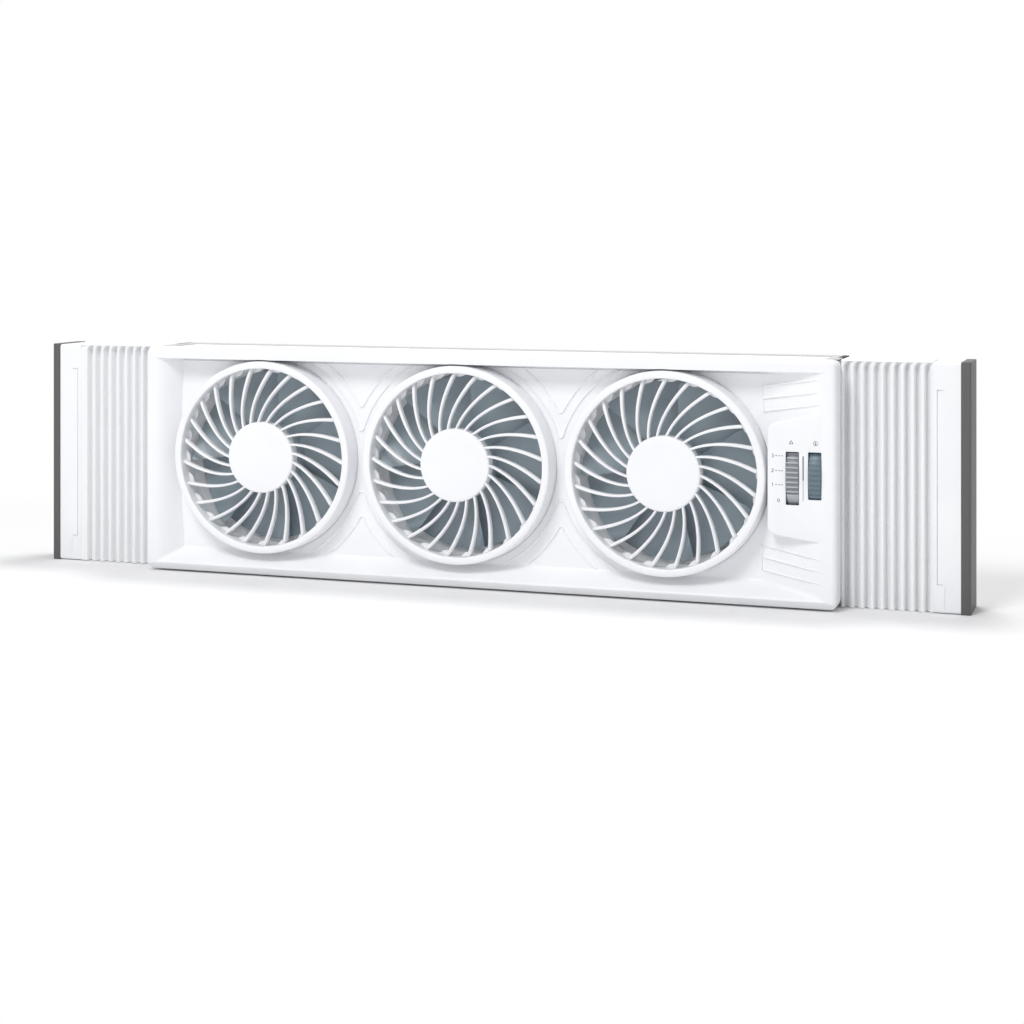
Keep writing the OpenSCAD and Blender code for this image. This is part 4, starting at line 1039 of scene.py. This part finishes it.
def rear_housing():
    """Rear shell: its box, cut for the guards, screws, cord, rails and seals, with the ducts, the screw
    posts and the cradles that hold the rails on its inside."""
    shell = mesh_of("rear_shell", shell_wall(), 30)
    past = BACK + 2
    cutters = [prism(circle(FLANGE_R + 0.3, FAN_X[k], FAN_Z, 160), BACK_WALL_Y - 1, past) for k in FANS]
    cutters += [prism(circle(LUG_R, FAN_X[k] + x, FAN_Z + z, 40), BACK_WALL_Y - 1.03, past + 0.03)
                for k in FANS for x, z in LUG_SPOTS]
    cutters += [prism(circle(SCREW_HOLE_R, x, z, 32), BACK_WALL_Y - 2, past) for x, z in POSTS]
    inlet_x, _, inlet_z = (INLET_LOW + INLET_HIGH) / 2
    cutters.append(prism(circle(INLET_R, inlet_x, inlet_z, 40), BACK_WALL_Y - 2, past))
    cradles = []
    wall_x = SHELL_X - WALL
    for name, side, level in RAILS:
        low, high = corners(f"{name}_{level}_rail")
        y0, y1 = low[1] - RAIL_GAP, high[1] + RAIL_GAP
        slot = block(wall_x - 1, SHELL_X + 1, y0, y1, low[2] - RAIL_GAP, high[2] + RAIL_GAP)
        cutters.append(flipped_x(slot, side))
        upper = (low[2] - 1, SHELL_Z1 - WALL + 0.1)
        lower = (SHELL_Z0 + WALL - 0.1, high[2] + 1)
        for y in (y0 - CRADLE_T, y1):
            cradle = block(wall_x - CRADLE_L, wall_x + 0.1, y, y + CRADLE_T,
                           *(upper if level == "upper" else lower), r=0.6)
            cradles.append(flipped_x(cradle, side))
    cutters.append(block(-HALF_W, HALF_W, SEAL_Y, BACK + 1, SHELL_Z1 - 1, SHELL_Z1 + 1))
    cutters.append(block(-HALF_W, HALF_W, -10, 10, SHELL_Z0 - 1, SHELL_Z0 + 1))
    cut(shell, cutters, 30)
    web = outline([(POST_R, POST_WEB_Y - POST_WEB_T), (POST_R, BACK_WALL_Y + 0.1),
                   (SCREW_HOLE_R, BACK_WALL_Y + 0.1), (SCREW_HOLE_R, POST_WEB_Y),
                   (1.8, POST_WEB_Y), (1.8, POST_WEB_Y - POST_WEB_T)], [0.3, 0, 0, 0.2, 0.2, 0.2], 3)
    shrouds = [part for k in FANS for part in shroud_parts(k)]
    posts = [turned(web, x, z, 32) for x, z in POSTS]
    add_parts(shell, "shell_inside", shrouds + posts + cradles)
    return place(shell, "housing", WHITE_ABS, "white_plastic", "rear_housing")


# ---------------------------------------------------------------- thumbwheels
WHEEL_RIBS = 56
WHEEL_MORE = 0.25
# The thumb's pad on the speed wheel: the angle of its middle, and how far it goes each way, in degrees.
PAD_AT = 304
PAD_HALF = 11


def smoother(t):
    """0 up to t = 0 and 1 from t = 1, and between them the cubic that is level at both ends."""
    t = np.clip(t, 0, 1)
    return t * t * (3 - 2 * t)


def thumbwheel(x, rib_h, rib_share, pad):
    """Thumbwheel about an axle along X. Its rim is a grid of angle and section: the radius drops between
    the ribs by rib_h, with rib_share of each pitch on the rib, but not along the thumb's pad, and the
    sides are recessed between the rim and the hub."""
    a = np.linspace(0, 2 * math.pi, WHEEL_RIBS * 16, endpoint=False)
    wave = 0.5 + 0.5 * np.cos(a * WHEEL_RIBS)
    on_rib = smoother((wave - (1 - rib_share)) / 0.18 + 0.5)
    if pad is not None:
        away = np.abs((np.degrees(a) - pad + 180) % 360 - 180)
        on_rib = np.where(away < PAD_HALF, 1.0, on_rib)
    half = WHEEL_W / 2 + WHEEL_MORE
    section = [(2.05, half), (7, half), (7, half - 2), (WHEEL_R - 5, half - 2), (WHEEL_R - 5, half),
               (WHEEL_R - 1.4, half), (WHEEL_R - 0.7, half - 0.1), (WHEEL_R - 0.2, half - 0.3),
               (WHEEL_R, half - 0.7)]
    section += [(r, -w) for r, w in section[::-1]]
    r = np.array([s[0] for s in section])[:, None]
    w = np.array([s[1] for s in section])[:, None] + 0 * a[None]
    depth = rib_h * np.clip((r - WHEEL_R + 1.5) / 1.1, 0, 1)
    radius = r - depth * (1 - on_rib[None])
    points = np.stack([x + w, AXLE_Y + radius * np.sin(a), AXLE_Z - radius * np.cos(a)], -1)
    return grid(points, wrap_rows=True, wrap_columns=True)


def thumbwheels():
    speed = mesh_of("speed_thumbwheel", [thumbwheel(SPEED_X, 1.0, 0.26, PAD_AT)], 50)
    place(speed, "speed_wheel", DIAL_GREY, "dial_grey", "speed_dial")
    heat = mesh_of("thermostat_thumbwheel", [thumbwheel(HEAT_X, 0.5, 0.4, None)], 50)
    place(heat, "thermostat_wheel", DIAL_BLUE, "dial_blue", "thermostat_dial")


# ---------------------------------------------------------------- printed marks
MARK_T = 0.05


def stroke(path, width):
    """Flat line of ink along (x, z) points on the control plate, with square ends."""
    path = np.array(path, float)
    along = np.gradient(path, axis=0)
    along /= np.linalg.norm(along, axis=1)[:, None]
    side = np.stack([-along[:, 1], along[:, 0]], 1) * width / 2
    edges = np.stack([path - side, path + side], 1)
    front = np.insert(edges, 1, PLATE_Y - MARK_T, axis=2)
    back = np.insert(edges, 1, PLATE_Y + MARK_T, axis=2)
    loop = np.concatenate([front, back[:, ::-1]], axis=1)
    return tube(loop)


def arc(x, z, rx, rz, start, end, n=13):
    """Points along an ellipse about (x, z), between two angles in degrees."""
    a = np.radians(np.linspace(start, end, n))
    return np.stack([x + rx * np.cos(a), z + rz * np.sin(a)], 1)


def digit(number, x, z, h):
    """A plain numeral of height h, centred at (x, z), as strokes."""
    w, t = h * 0.3, h * 0.16
    if number == 0:
        return [stroke(arc(x, z, w, h / 2 - t / 2, 0, 360, 25), t)]
    if number == 1:
        flag = [(x - w * 0.8, z + h * 0.28), (x, z + h / 2 - t / 2)]
        return [stroke([(x, z - h / 2), (x, z + h / 2)], t), stroke(flag, t)]
    if number == 2:
        top = arc(x, z + h * 0.22, w, h * 0.22, 160, -40)
        foot = z - h / 2 + t / 2
        return [stroke(np.concatenate([top, [(x - w, foot)]]), t), stroke([(x - w, foot), (x + w, foot)], t)]
    bowls = [arc(x - w * 0.1, z + s * h * 0.23, w * 0.95, h * 0.21, 140 * s, -80 * s) for s in (1, -1)]
    return [stroke(bowl, t) for bowl in bowls]


# The scale's numerals with their heights over the axle, how tall they are, and the dashes beside them.
SCALE_Z = {3: 15.3, 2: 4.5, 1: -5.7, 0: -17.0}
DIGIT_H = 2.6
DIGIT_X, ZERO_X = 233.6, 238.0
DASH_X = (236.2, 238.4, 240.4)
ICON_Z = AXLE_Z + 25.0
WEDGE_X = 255.9


def printed_marks():
    """Speed scale 0 to 3 beside the first window, a wedge between the windows, and plain symbols of a
    fan and of a thermometer above them."""
    parts = []
    for number, lift in SCALE_Z.items():
        z = AXLE_Z + lift
        parts += digit(number, DIGIT_X if number else ZERO_X, z, DIGIT_H)
        if number:
            parts += [stroke([(x - 0.55, z), (x + 0.55, z)], 0.55) for x in DASH_X]
    thick = [(WEDGE_X, AXLE_Z + 15.5), (WEDGE_X, AXLE_Z + 6), (WEDGE_X, AXLE_Z - 2)]
    parts += [stroke(thick, 0.9), stroke([(WEDGE_X, AXLE_Z - 2), (WEDGE_X, AXLE_Z - 17)], 0.35)]
    for turn in range(3):
        a = math.radians(90 + 120 * turn)
        parts.append(stroke(arc(SPEED_X - 0.8 + 0.8 * math.cos(a), ICON_Z + 0.8 * math.sin(a), 0.45, 0.45,
                                math.degrees(a) - 90, math.degrees(a) + 150), 0.6))
    bulb = stroke(arc(HEAT_X + 0.6, ICON_Z - 0.7, 0.4, 0.4, 0, 360, 17), 0.4)
    stem = stroke([(HEAT_X + 0.6, ICON_Z - 0.4), (HEAT_X + 0.6, ICON_Z + 1.1)], 0.5)
    frame_line = stroke(arc(HEAT_X + 0.6, ICON_Z, 1.5, 1.6, 0, 360, 25), 0.3)
    parts += [bulb, stem, frame_line]
    return place(mesh_of("printed_marks", parts), "housing", INK, "white_plastic")


# ---------------------------------------------------------------- side panels
# Shares of a pitch at which the sheet leaves the valley, is up, starts down, and is back in the valley.
VALLEY, RISE, CREST, FALL = 0.0, 0.62, 0.86, 0.97
PLEAT_DEPTH = 6.6
SHEET_T = 0.8
# Where the first pleat starts, from the sheet's left end, and the pitch. Left of it the sheet is flat.
PLEATS = {"left": (6.6, 7.55), "right": (3.0, 7.25)}
FLAT_PHASE = -0.41
PLEAT_COLUMNS = 26
COVER_Y = 22.0
BELLOWS_RISE = 1.3
BEND_R, SHOULDER = 0.9, 4.5


def pleat_wave(phase):
    """Depth of the pleated sheet over one pitch, from 0 on a crest to 1 in a valley: a slow rise out of
    the valley, a lightly crowned crest, and a steep fall back into the valley."""
    share = phase % 1
    rise = smoother((share - VALLEY) / (RISE - VALLEY))
    fall = smoother((share - CREST) / (FALL - CREST))
    crown = 0.07 * ((share - (RISE + CREST) / 2) / ((CREST - RISE) / 2)) ** 2
    flat = np.where((share > RISE) & (share < CREST), np.clip(crown, 0, 0.07), 0.07)
    return 1 - (rise - fall) * (1 - flat)


def bellows(name, side):
    """Pleated sheet between the housing and an end plate. Its depth is the pleats' wave, which dies away
    at the top over a round shoulder, where the valleys also lean to one side; above them the sheet bends
    back into a flat cover. It ends just inside the end plate's mouth."""
    low, high = corners(name + "_bellows")
    high[2] += BELLOWS_RISE
    span = [float(low[0]) - 0.4, float(high[0])] if side < 0 else [float(low[0]), float(high[0]) + 0.4]
    start, pitch = PLEATS[name]
    count = round((high[0] - low[0]) / pitch * PLEAT_COLUMNS)
    x = np.linspace(span[0], span[1], count + 1)[:, None]
    phase = np.maximum((x - low[0] - start) / pitch, FLAT_PHASE)
    top = high[2] - BEND_R
    z = lines(low[2], (low[2] + 1.2, 0.3), (top - SHOULDER - 2, 28), (top, 0.4))[None, :]
    climb = np.clip((top - 0.2 - z) / SHOULDER, 0, 1)
    fade = np.sqrt(1 - (1 - climb) ** 2)
    wave = pleat_wave(phase - 0.3 * (1 - climb) ** 2) * fade
    foot = 1 - 0.14 * np.clip(1 - (z - low[2]) / 1.2, 0, 1) ** 2
    y = low[1] + PLEAT_DEPTH * wave * foot
    a = np.linspace(0, math.pi / 2, 5)[None, 1:]

    def sheet(inset):
        """The sheet's path up the pleats, round the bend and back along the cover, drawn in by inset."""
        r = BEND_R - inset
        up = np.stack([x + 0 * z, y + inset, z + 0 * x], -1)
        over_y, over_z = low[1] + BEND_R - r * np.cos(a), top + r * np.sin(a)
        over = np.stack([x + 0 * a, over_y + 0 * x, over_z + 0 * x], -1)
        end = np.stack([x, 0 * x + COVER_Y, 0 * x + top + r], -1)
        return np.concatenate([up, over, end], axis=1)

    outer, inner = sheet(0.0), sheet(SHEET_T)
    edges = [np.stack([outer[:, i], inner[:, i]], 1) for i in (0, -1)]
    edges += [np.stack([outer[i], inner[i]], 1) for i in (0, -1)]
    piece = mesh_of(name + "_pleats", [grid(outer), grid(inner)] + [grid(edge) for edge in edges], 50)
    piece.data.materials.append(WHITE_PLEAT)
    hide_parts(name + "_bellows")
    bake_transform(piece)
    return piece


FLAP_Z = (21.0, 160.4)
# Grooves in an end plate's front: near and far side, from the plate's inner edge, how far the cutter
# stands in front and how deep it goes, and its bottom and top.
GROOVES = [(3.0, 3.32, 1.0, 0.3, *FLAP_Z)]
GROOVES += [(3.02, 7.6, 1.1, 0.8, z - 0.4, z + 0.4) for z in FLAP_Z]
GROOVES.append((8.4, 8.85, 1.0, 0.5, -1.0, FLAP_Z[0] - 2.2))
END_INSET = 2.0
END_WALL = 2.5


def end_plate(name, side):
    """Hollow end plate, open towards the pleats: a rounded section in Y and Z drawn along X, with fine
    grooves round the snap-in flap on its front."""
    low, high = corners(name + "_end_plate")
    inner, outer = sorted([low[0], high[0]], key=abs)
    ys = np.array([low[1] + END_INSET, high[1] - END_INSET])
    zs = np.array([low[2] + END_INSET, high[2] - END_INSET])
    floor_x = outer - END_WALL * side
    section = [(END_INSET, outer), (0.6, outer), (0.15, outer - 0.15 * side), (0, outer - 0.6 * side),
               (0, inner + 0.6 * side), (0.15, inner + 0.15 * side), (0.7, inner), (2.2, inner),
               (END_WALL, inner + 0.3 * side), (END_WALL, floor_x)]
    parts = [grid(rounded_rings(ys, zs, END_INSET, section, 0, 5), wrap_columns=True)]
    for x, gap in ((outer, 0), (floor_x, END_WALL - END_INSET)):
        loop = rectangle(ys[0] + gap, ys[1] - gap, zs[0] + gap, zs[1] - gap)
        parts.append(quad([(x, y, z) for y, z in loop]))
    piece = mesh_of(name + "_end_cap", parts, 35)
    cutters = []
    for near, far, lead, depth, z0, z1 in GROOVES:
        x0, x1 = sorted([inner + near * side, inner + far * side])
        cutters.append(block(x0, x1, low[1] - lead, low[1] + depth, z0, z1))
    cut(piece, cutters, 35)
    return place(piece, name + "_panel", WHITE_ABS, "white_plastic", name + "_end_plate")


def side_panel(name, side):
    bellows(name, side)
    end_plate(name, side)
    body = name + "_panel"
    softened(name + "_edge_strip", body, TRIM_RUBBER, "edge_rubber", 0.5, 3)
    softened(name + "_upper_rail", body, INNER_ABS, "inner_plastic", 0.4)
    softened(name + "_lower_rail", body, INNER_ABS, "inner_plastic", 0.4)


# ---------------------------------------------------------------- screws
THREAD_R, THREAD_PITCH, THREAD_D = 1.5, 1.1, 0.28
HEAD_R, HEAD_H = 2.9, 1.5


def screw_head():
    """Pan head with a cross recess, seen along +Y: a polar grid whose height is a low dome, less the
    recess where the distances from both arms' middle lines allow it. It is closed underneath."""
    share = np.linspace(0, 1, 12)[:, None]
    a = np.linspace(0, 2 * math.pi, 48, endpoint=False)[None, :]
    x, z = share * np.cos(a), share * np.sin(a)
    thin, far = np.minimum(np.abs(x), np.abs(z)), np.maximum(np.abs(x), np.abs(z))
    arm = np.clip((0.17 - thin) / 0.05, 0, 1) * np.clip((0.62 - far) / 0.12, 0, 1)
    y = HEAD_H * (np.sqrt(1 - 0.55 * share ** 3) - 0.6 * arm)
    face = np.stack([HEAD_R * x, y, HEAD_R * z], -1)
    skirt = face[-1:] * np.array([1, 0, 1])
    return grid(np.concatenate([face, skirt, 0 * skirt]), wrap_columns=True)


def screw(length):
    """Screw along -Y with its seat at the origin: a head, and a shank with raised thread rings."""
    count = int((length - 1.5) / THREAD_PITCH)
    ridges = [(THREAD_R - THREAD_D * (i % 2), -0.4 - i * THREAD_PITCH / 2) for i in range(2 * count)]
    shank = [(THREAD_R, 0.0)] + ridges + [(0.3, -length), (0, -length)]
    return [screw_head(), turned(shank, segments=20, closed=False)]


def screws_of(name, node, spots, length):
    parts = [moved(part, *spot) for spot in spots for part in screw(length)]
    return place(mesh_of(name, parts, 35), "housing", ZINC_STEEL, "screw_steel", node)


def screws():
    screws_of("shell_screws", "housing_screws", [(x, POST_WEB_Y, z) for x, z in POSTS], 12)
    lugs = [(FAN_X[k] + x, BACK - 0.3, FAN_Z + z) for k in FANS for x, z in LUG_SPOTS]
    screws_of("guard_fixing_screws", "guard_screws", lugs, 11)
    plates = [(FAN_X[k] + s * MOTOR_SCREW_AT, BACK - PLATE_DIP, FAN_Z) for k in FANS for s in (-1, 1)]
    screws_of("motor_fixing_screws", "motor_screws", plates, 8)


# ---------------------------------------------------------------- floor and light
def seen_directly(tree):
    """1 for a ray from the camera, a reflection or a clear piece, and 0 for one that only lights."""
    path = add(tree, "ShaderNodeLightPath")
    seen = path.outputs["Is Camera Ray"]
    for kind in ("Is Glossy Ray", "Is Transmission Ray"):
        seen = add(tree, "ShaderNodeMath", {"operation": "MAXIMUM"}, s0=seen, s1=path.outputs[kind])
    return seen


FLOOR_REACH = 12.0
# Metres from the middle at which the floor starts to turn to plain white, and has turned, and what the
# distances along X and Y are multiplied by before that.
WHITE_FROM, WHITE_BY = 0.34, 0.8
WHITE_STRETCH = (0.75, 1.6, 0)


def make_floor():
    """White studio floor. Far from the object it turns to plain white for the camera, so that no
    horizon shows, and near it keeps the shadow."""
    mesh = bpy.data.meshes.new("floor")
    edge = rectangle(-FLOOR_REACH, FLOOR_REACH, -FLOOR_REACH, FLOOR_REACH)
    mesh.from_pydata([(x, y, 0) for x, y in edge], [], [(0, 1, 2, 3)])
    link("floor", mesh)
    material, tree, place_at = new_material("white_studio_floor")
    flat = add(tree, "ShaderNodeVectorMath", {"operation": "MULTIPLY"}, s0=place_at, s1=WHITE_STRETCH)
    away = add(tree, "ShaderNodeVectorMath", {"operation": "LENGTH"}, s0=flat).outputs["Value"]
    far = add(tree, "ShaderNodeMapRange", {"interpolation_type": "SMOOTHSTEP"}, s0=away, s1=WHITE_FROM,
              s2=WHITE_BY)
    share = add(tree, "ShaderNodeMath", {"operation": "MULTIPLY"}, s0=far, s1=seen_directly(tree))
    paper = add(tree, "ShaderNodeBsdfDiffuse", Color=linear("#F1F1F2"))
    white = add(tree, "ShaderNodeEmission", Strength=1.0)
    both = add(tree, "ShaderNodeMixShader", s0=share, s1=paper, s2=white)
    add(tree, "ShaderNodeOutputMaterial", Surface=both)
    mesh.materials.append(material)


AMBIENT = 0.53


def make_world():
    """White room: it lights the object at AMBIENT, and shows as plain white."""
    world = bpy.data.worlds.new("studio")
    bpy.context.scene.world = world
    world.use_nodes = True
    tree = world.node_tree
    tree.nodes.clear()
    strength = add(tree, "ShaderNodeMapRange", s0=seen_directly(tree), s3=AMBIENT, s4=1.0)
    sky = add(tree, "ShaderNodeBackground", Color=linear("#FFFFFF"), Strength=strength)
    add(tree, "ShaderNodeOutputWorld", Surface=sky)


LAMP_AIM = (0, 0, 0.08)


def lamp(name, spot, size, power):
    """Soft round lamp at a spot, in metres, that points at the object."""
    data = bpy.data.lights.new(name, "AREA")
    data.shape, data.size, data.energy = "DISK", size, power
    made = bpy.data.objects.new(name, data)
    made.location = spot
    made.rotation_euler = (Vector(LAMP_AIM) - Vector(spot)).to_track_quat("-Z", "Y").to_euler()
    bpy.context.scene.collection.objects.link(made)


def make_lights():
    make_world()
    lamp("key", (-0.25, -1.5, 1.65), 0.8, 21)
    lamp("overhead", (0.1, 0.55, 2.1), 0.6, 18)


# ---------------------------------------------------------------- assembly
def inner_parts():
    """Pieces inside the housing, and the seals and the grommet on it."""
    softened("control_bracket", "housing", INNER_ABS, "inner_plastic", 0.4)
    softened("speed_switch", "housing", PHENOLIC, "switch_plastic", 0.8)
    softened("thermostat", "housing", STEATITE, "thermostat_base", 0.25)
    softened("terminal_block", "housing", INNER_ABS, "inner_plastic", 0.8)
    softened("cord_grommet", "housing", PVC, "wire_pvc", 0.5, 3)
    softened("top_seal", "housing", LIP_FOAM, "seal_foam", 0.4)
    softened("bottom_seal", "housing", SEAL_FOAM, "seal_foam", 0.4)
    for k in FANS:
        softened("motor_" + k, "housing", MOTOR_STEEL, "motor_steel", 0.8, 3)
        softened("fan_nut_" + k, k + "_rotor", ZINC_STEEL, "screw_steel", 0.3)
        repaint("shaft_" + k, GROUND_STEEL)
        repaint("bushes_" + k, BRONZE)
    repaint("dial_axle", GROUND_STEEL)
    repaint("wiring_loom", WIRE_GREY)
    for name in PANELS:
        repaint(name + "_rail_screws", ZINC_STEEL)


def repaint(node, material):
    """Gives a carried-over CAD node its finish."""
    slots = NODES[node].material_slots
    for taken in slots:
        taken.material = material
    if not slots:
        NODES[node].data.materials.append(material)


front_panel()
rear_housing()
for fan_name in FANS:
    grille(fan_name)
    fan(fan_name)
    rear_guard(fan_name)
thumbwheels()
printed_marks()
for panel_name, panel_side in PANELS.items():
    side_panel(panel_name, panel_side)
screws()
inner_parts()
make_floor()
make_lights()
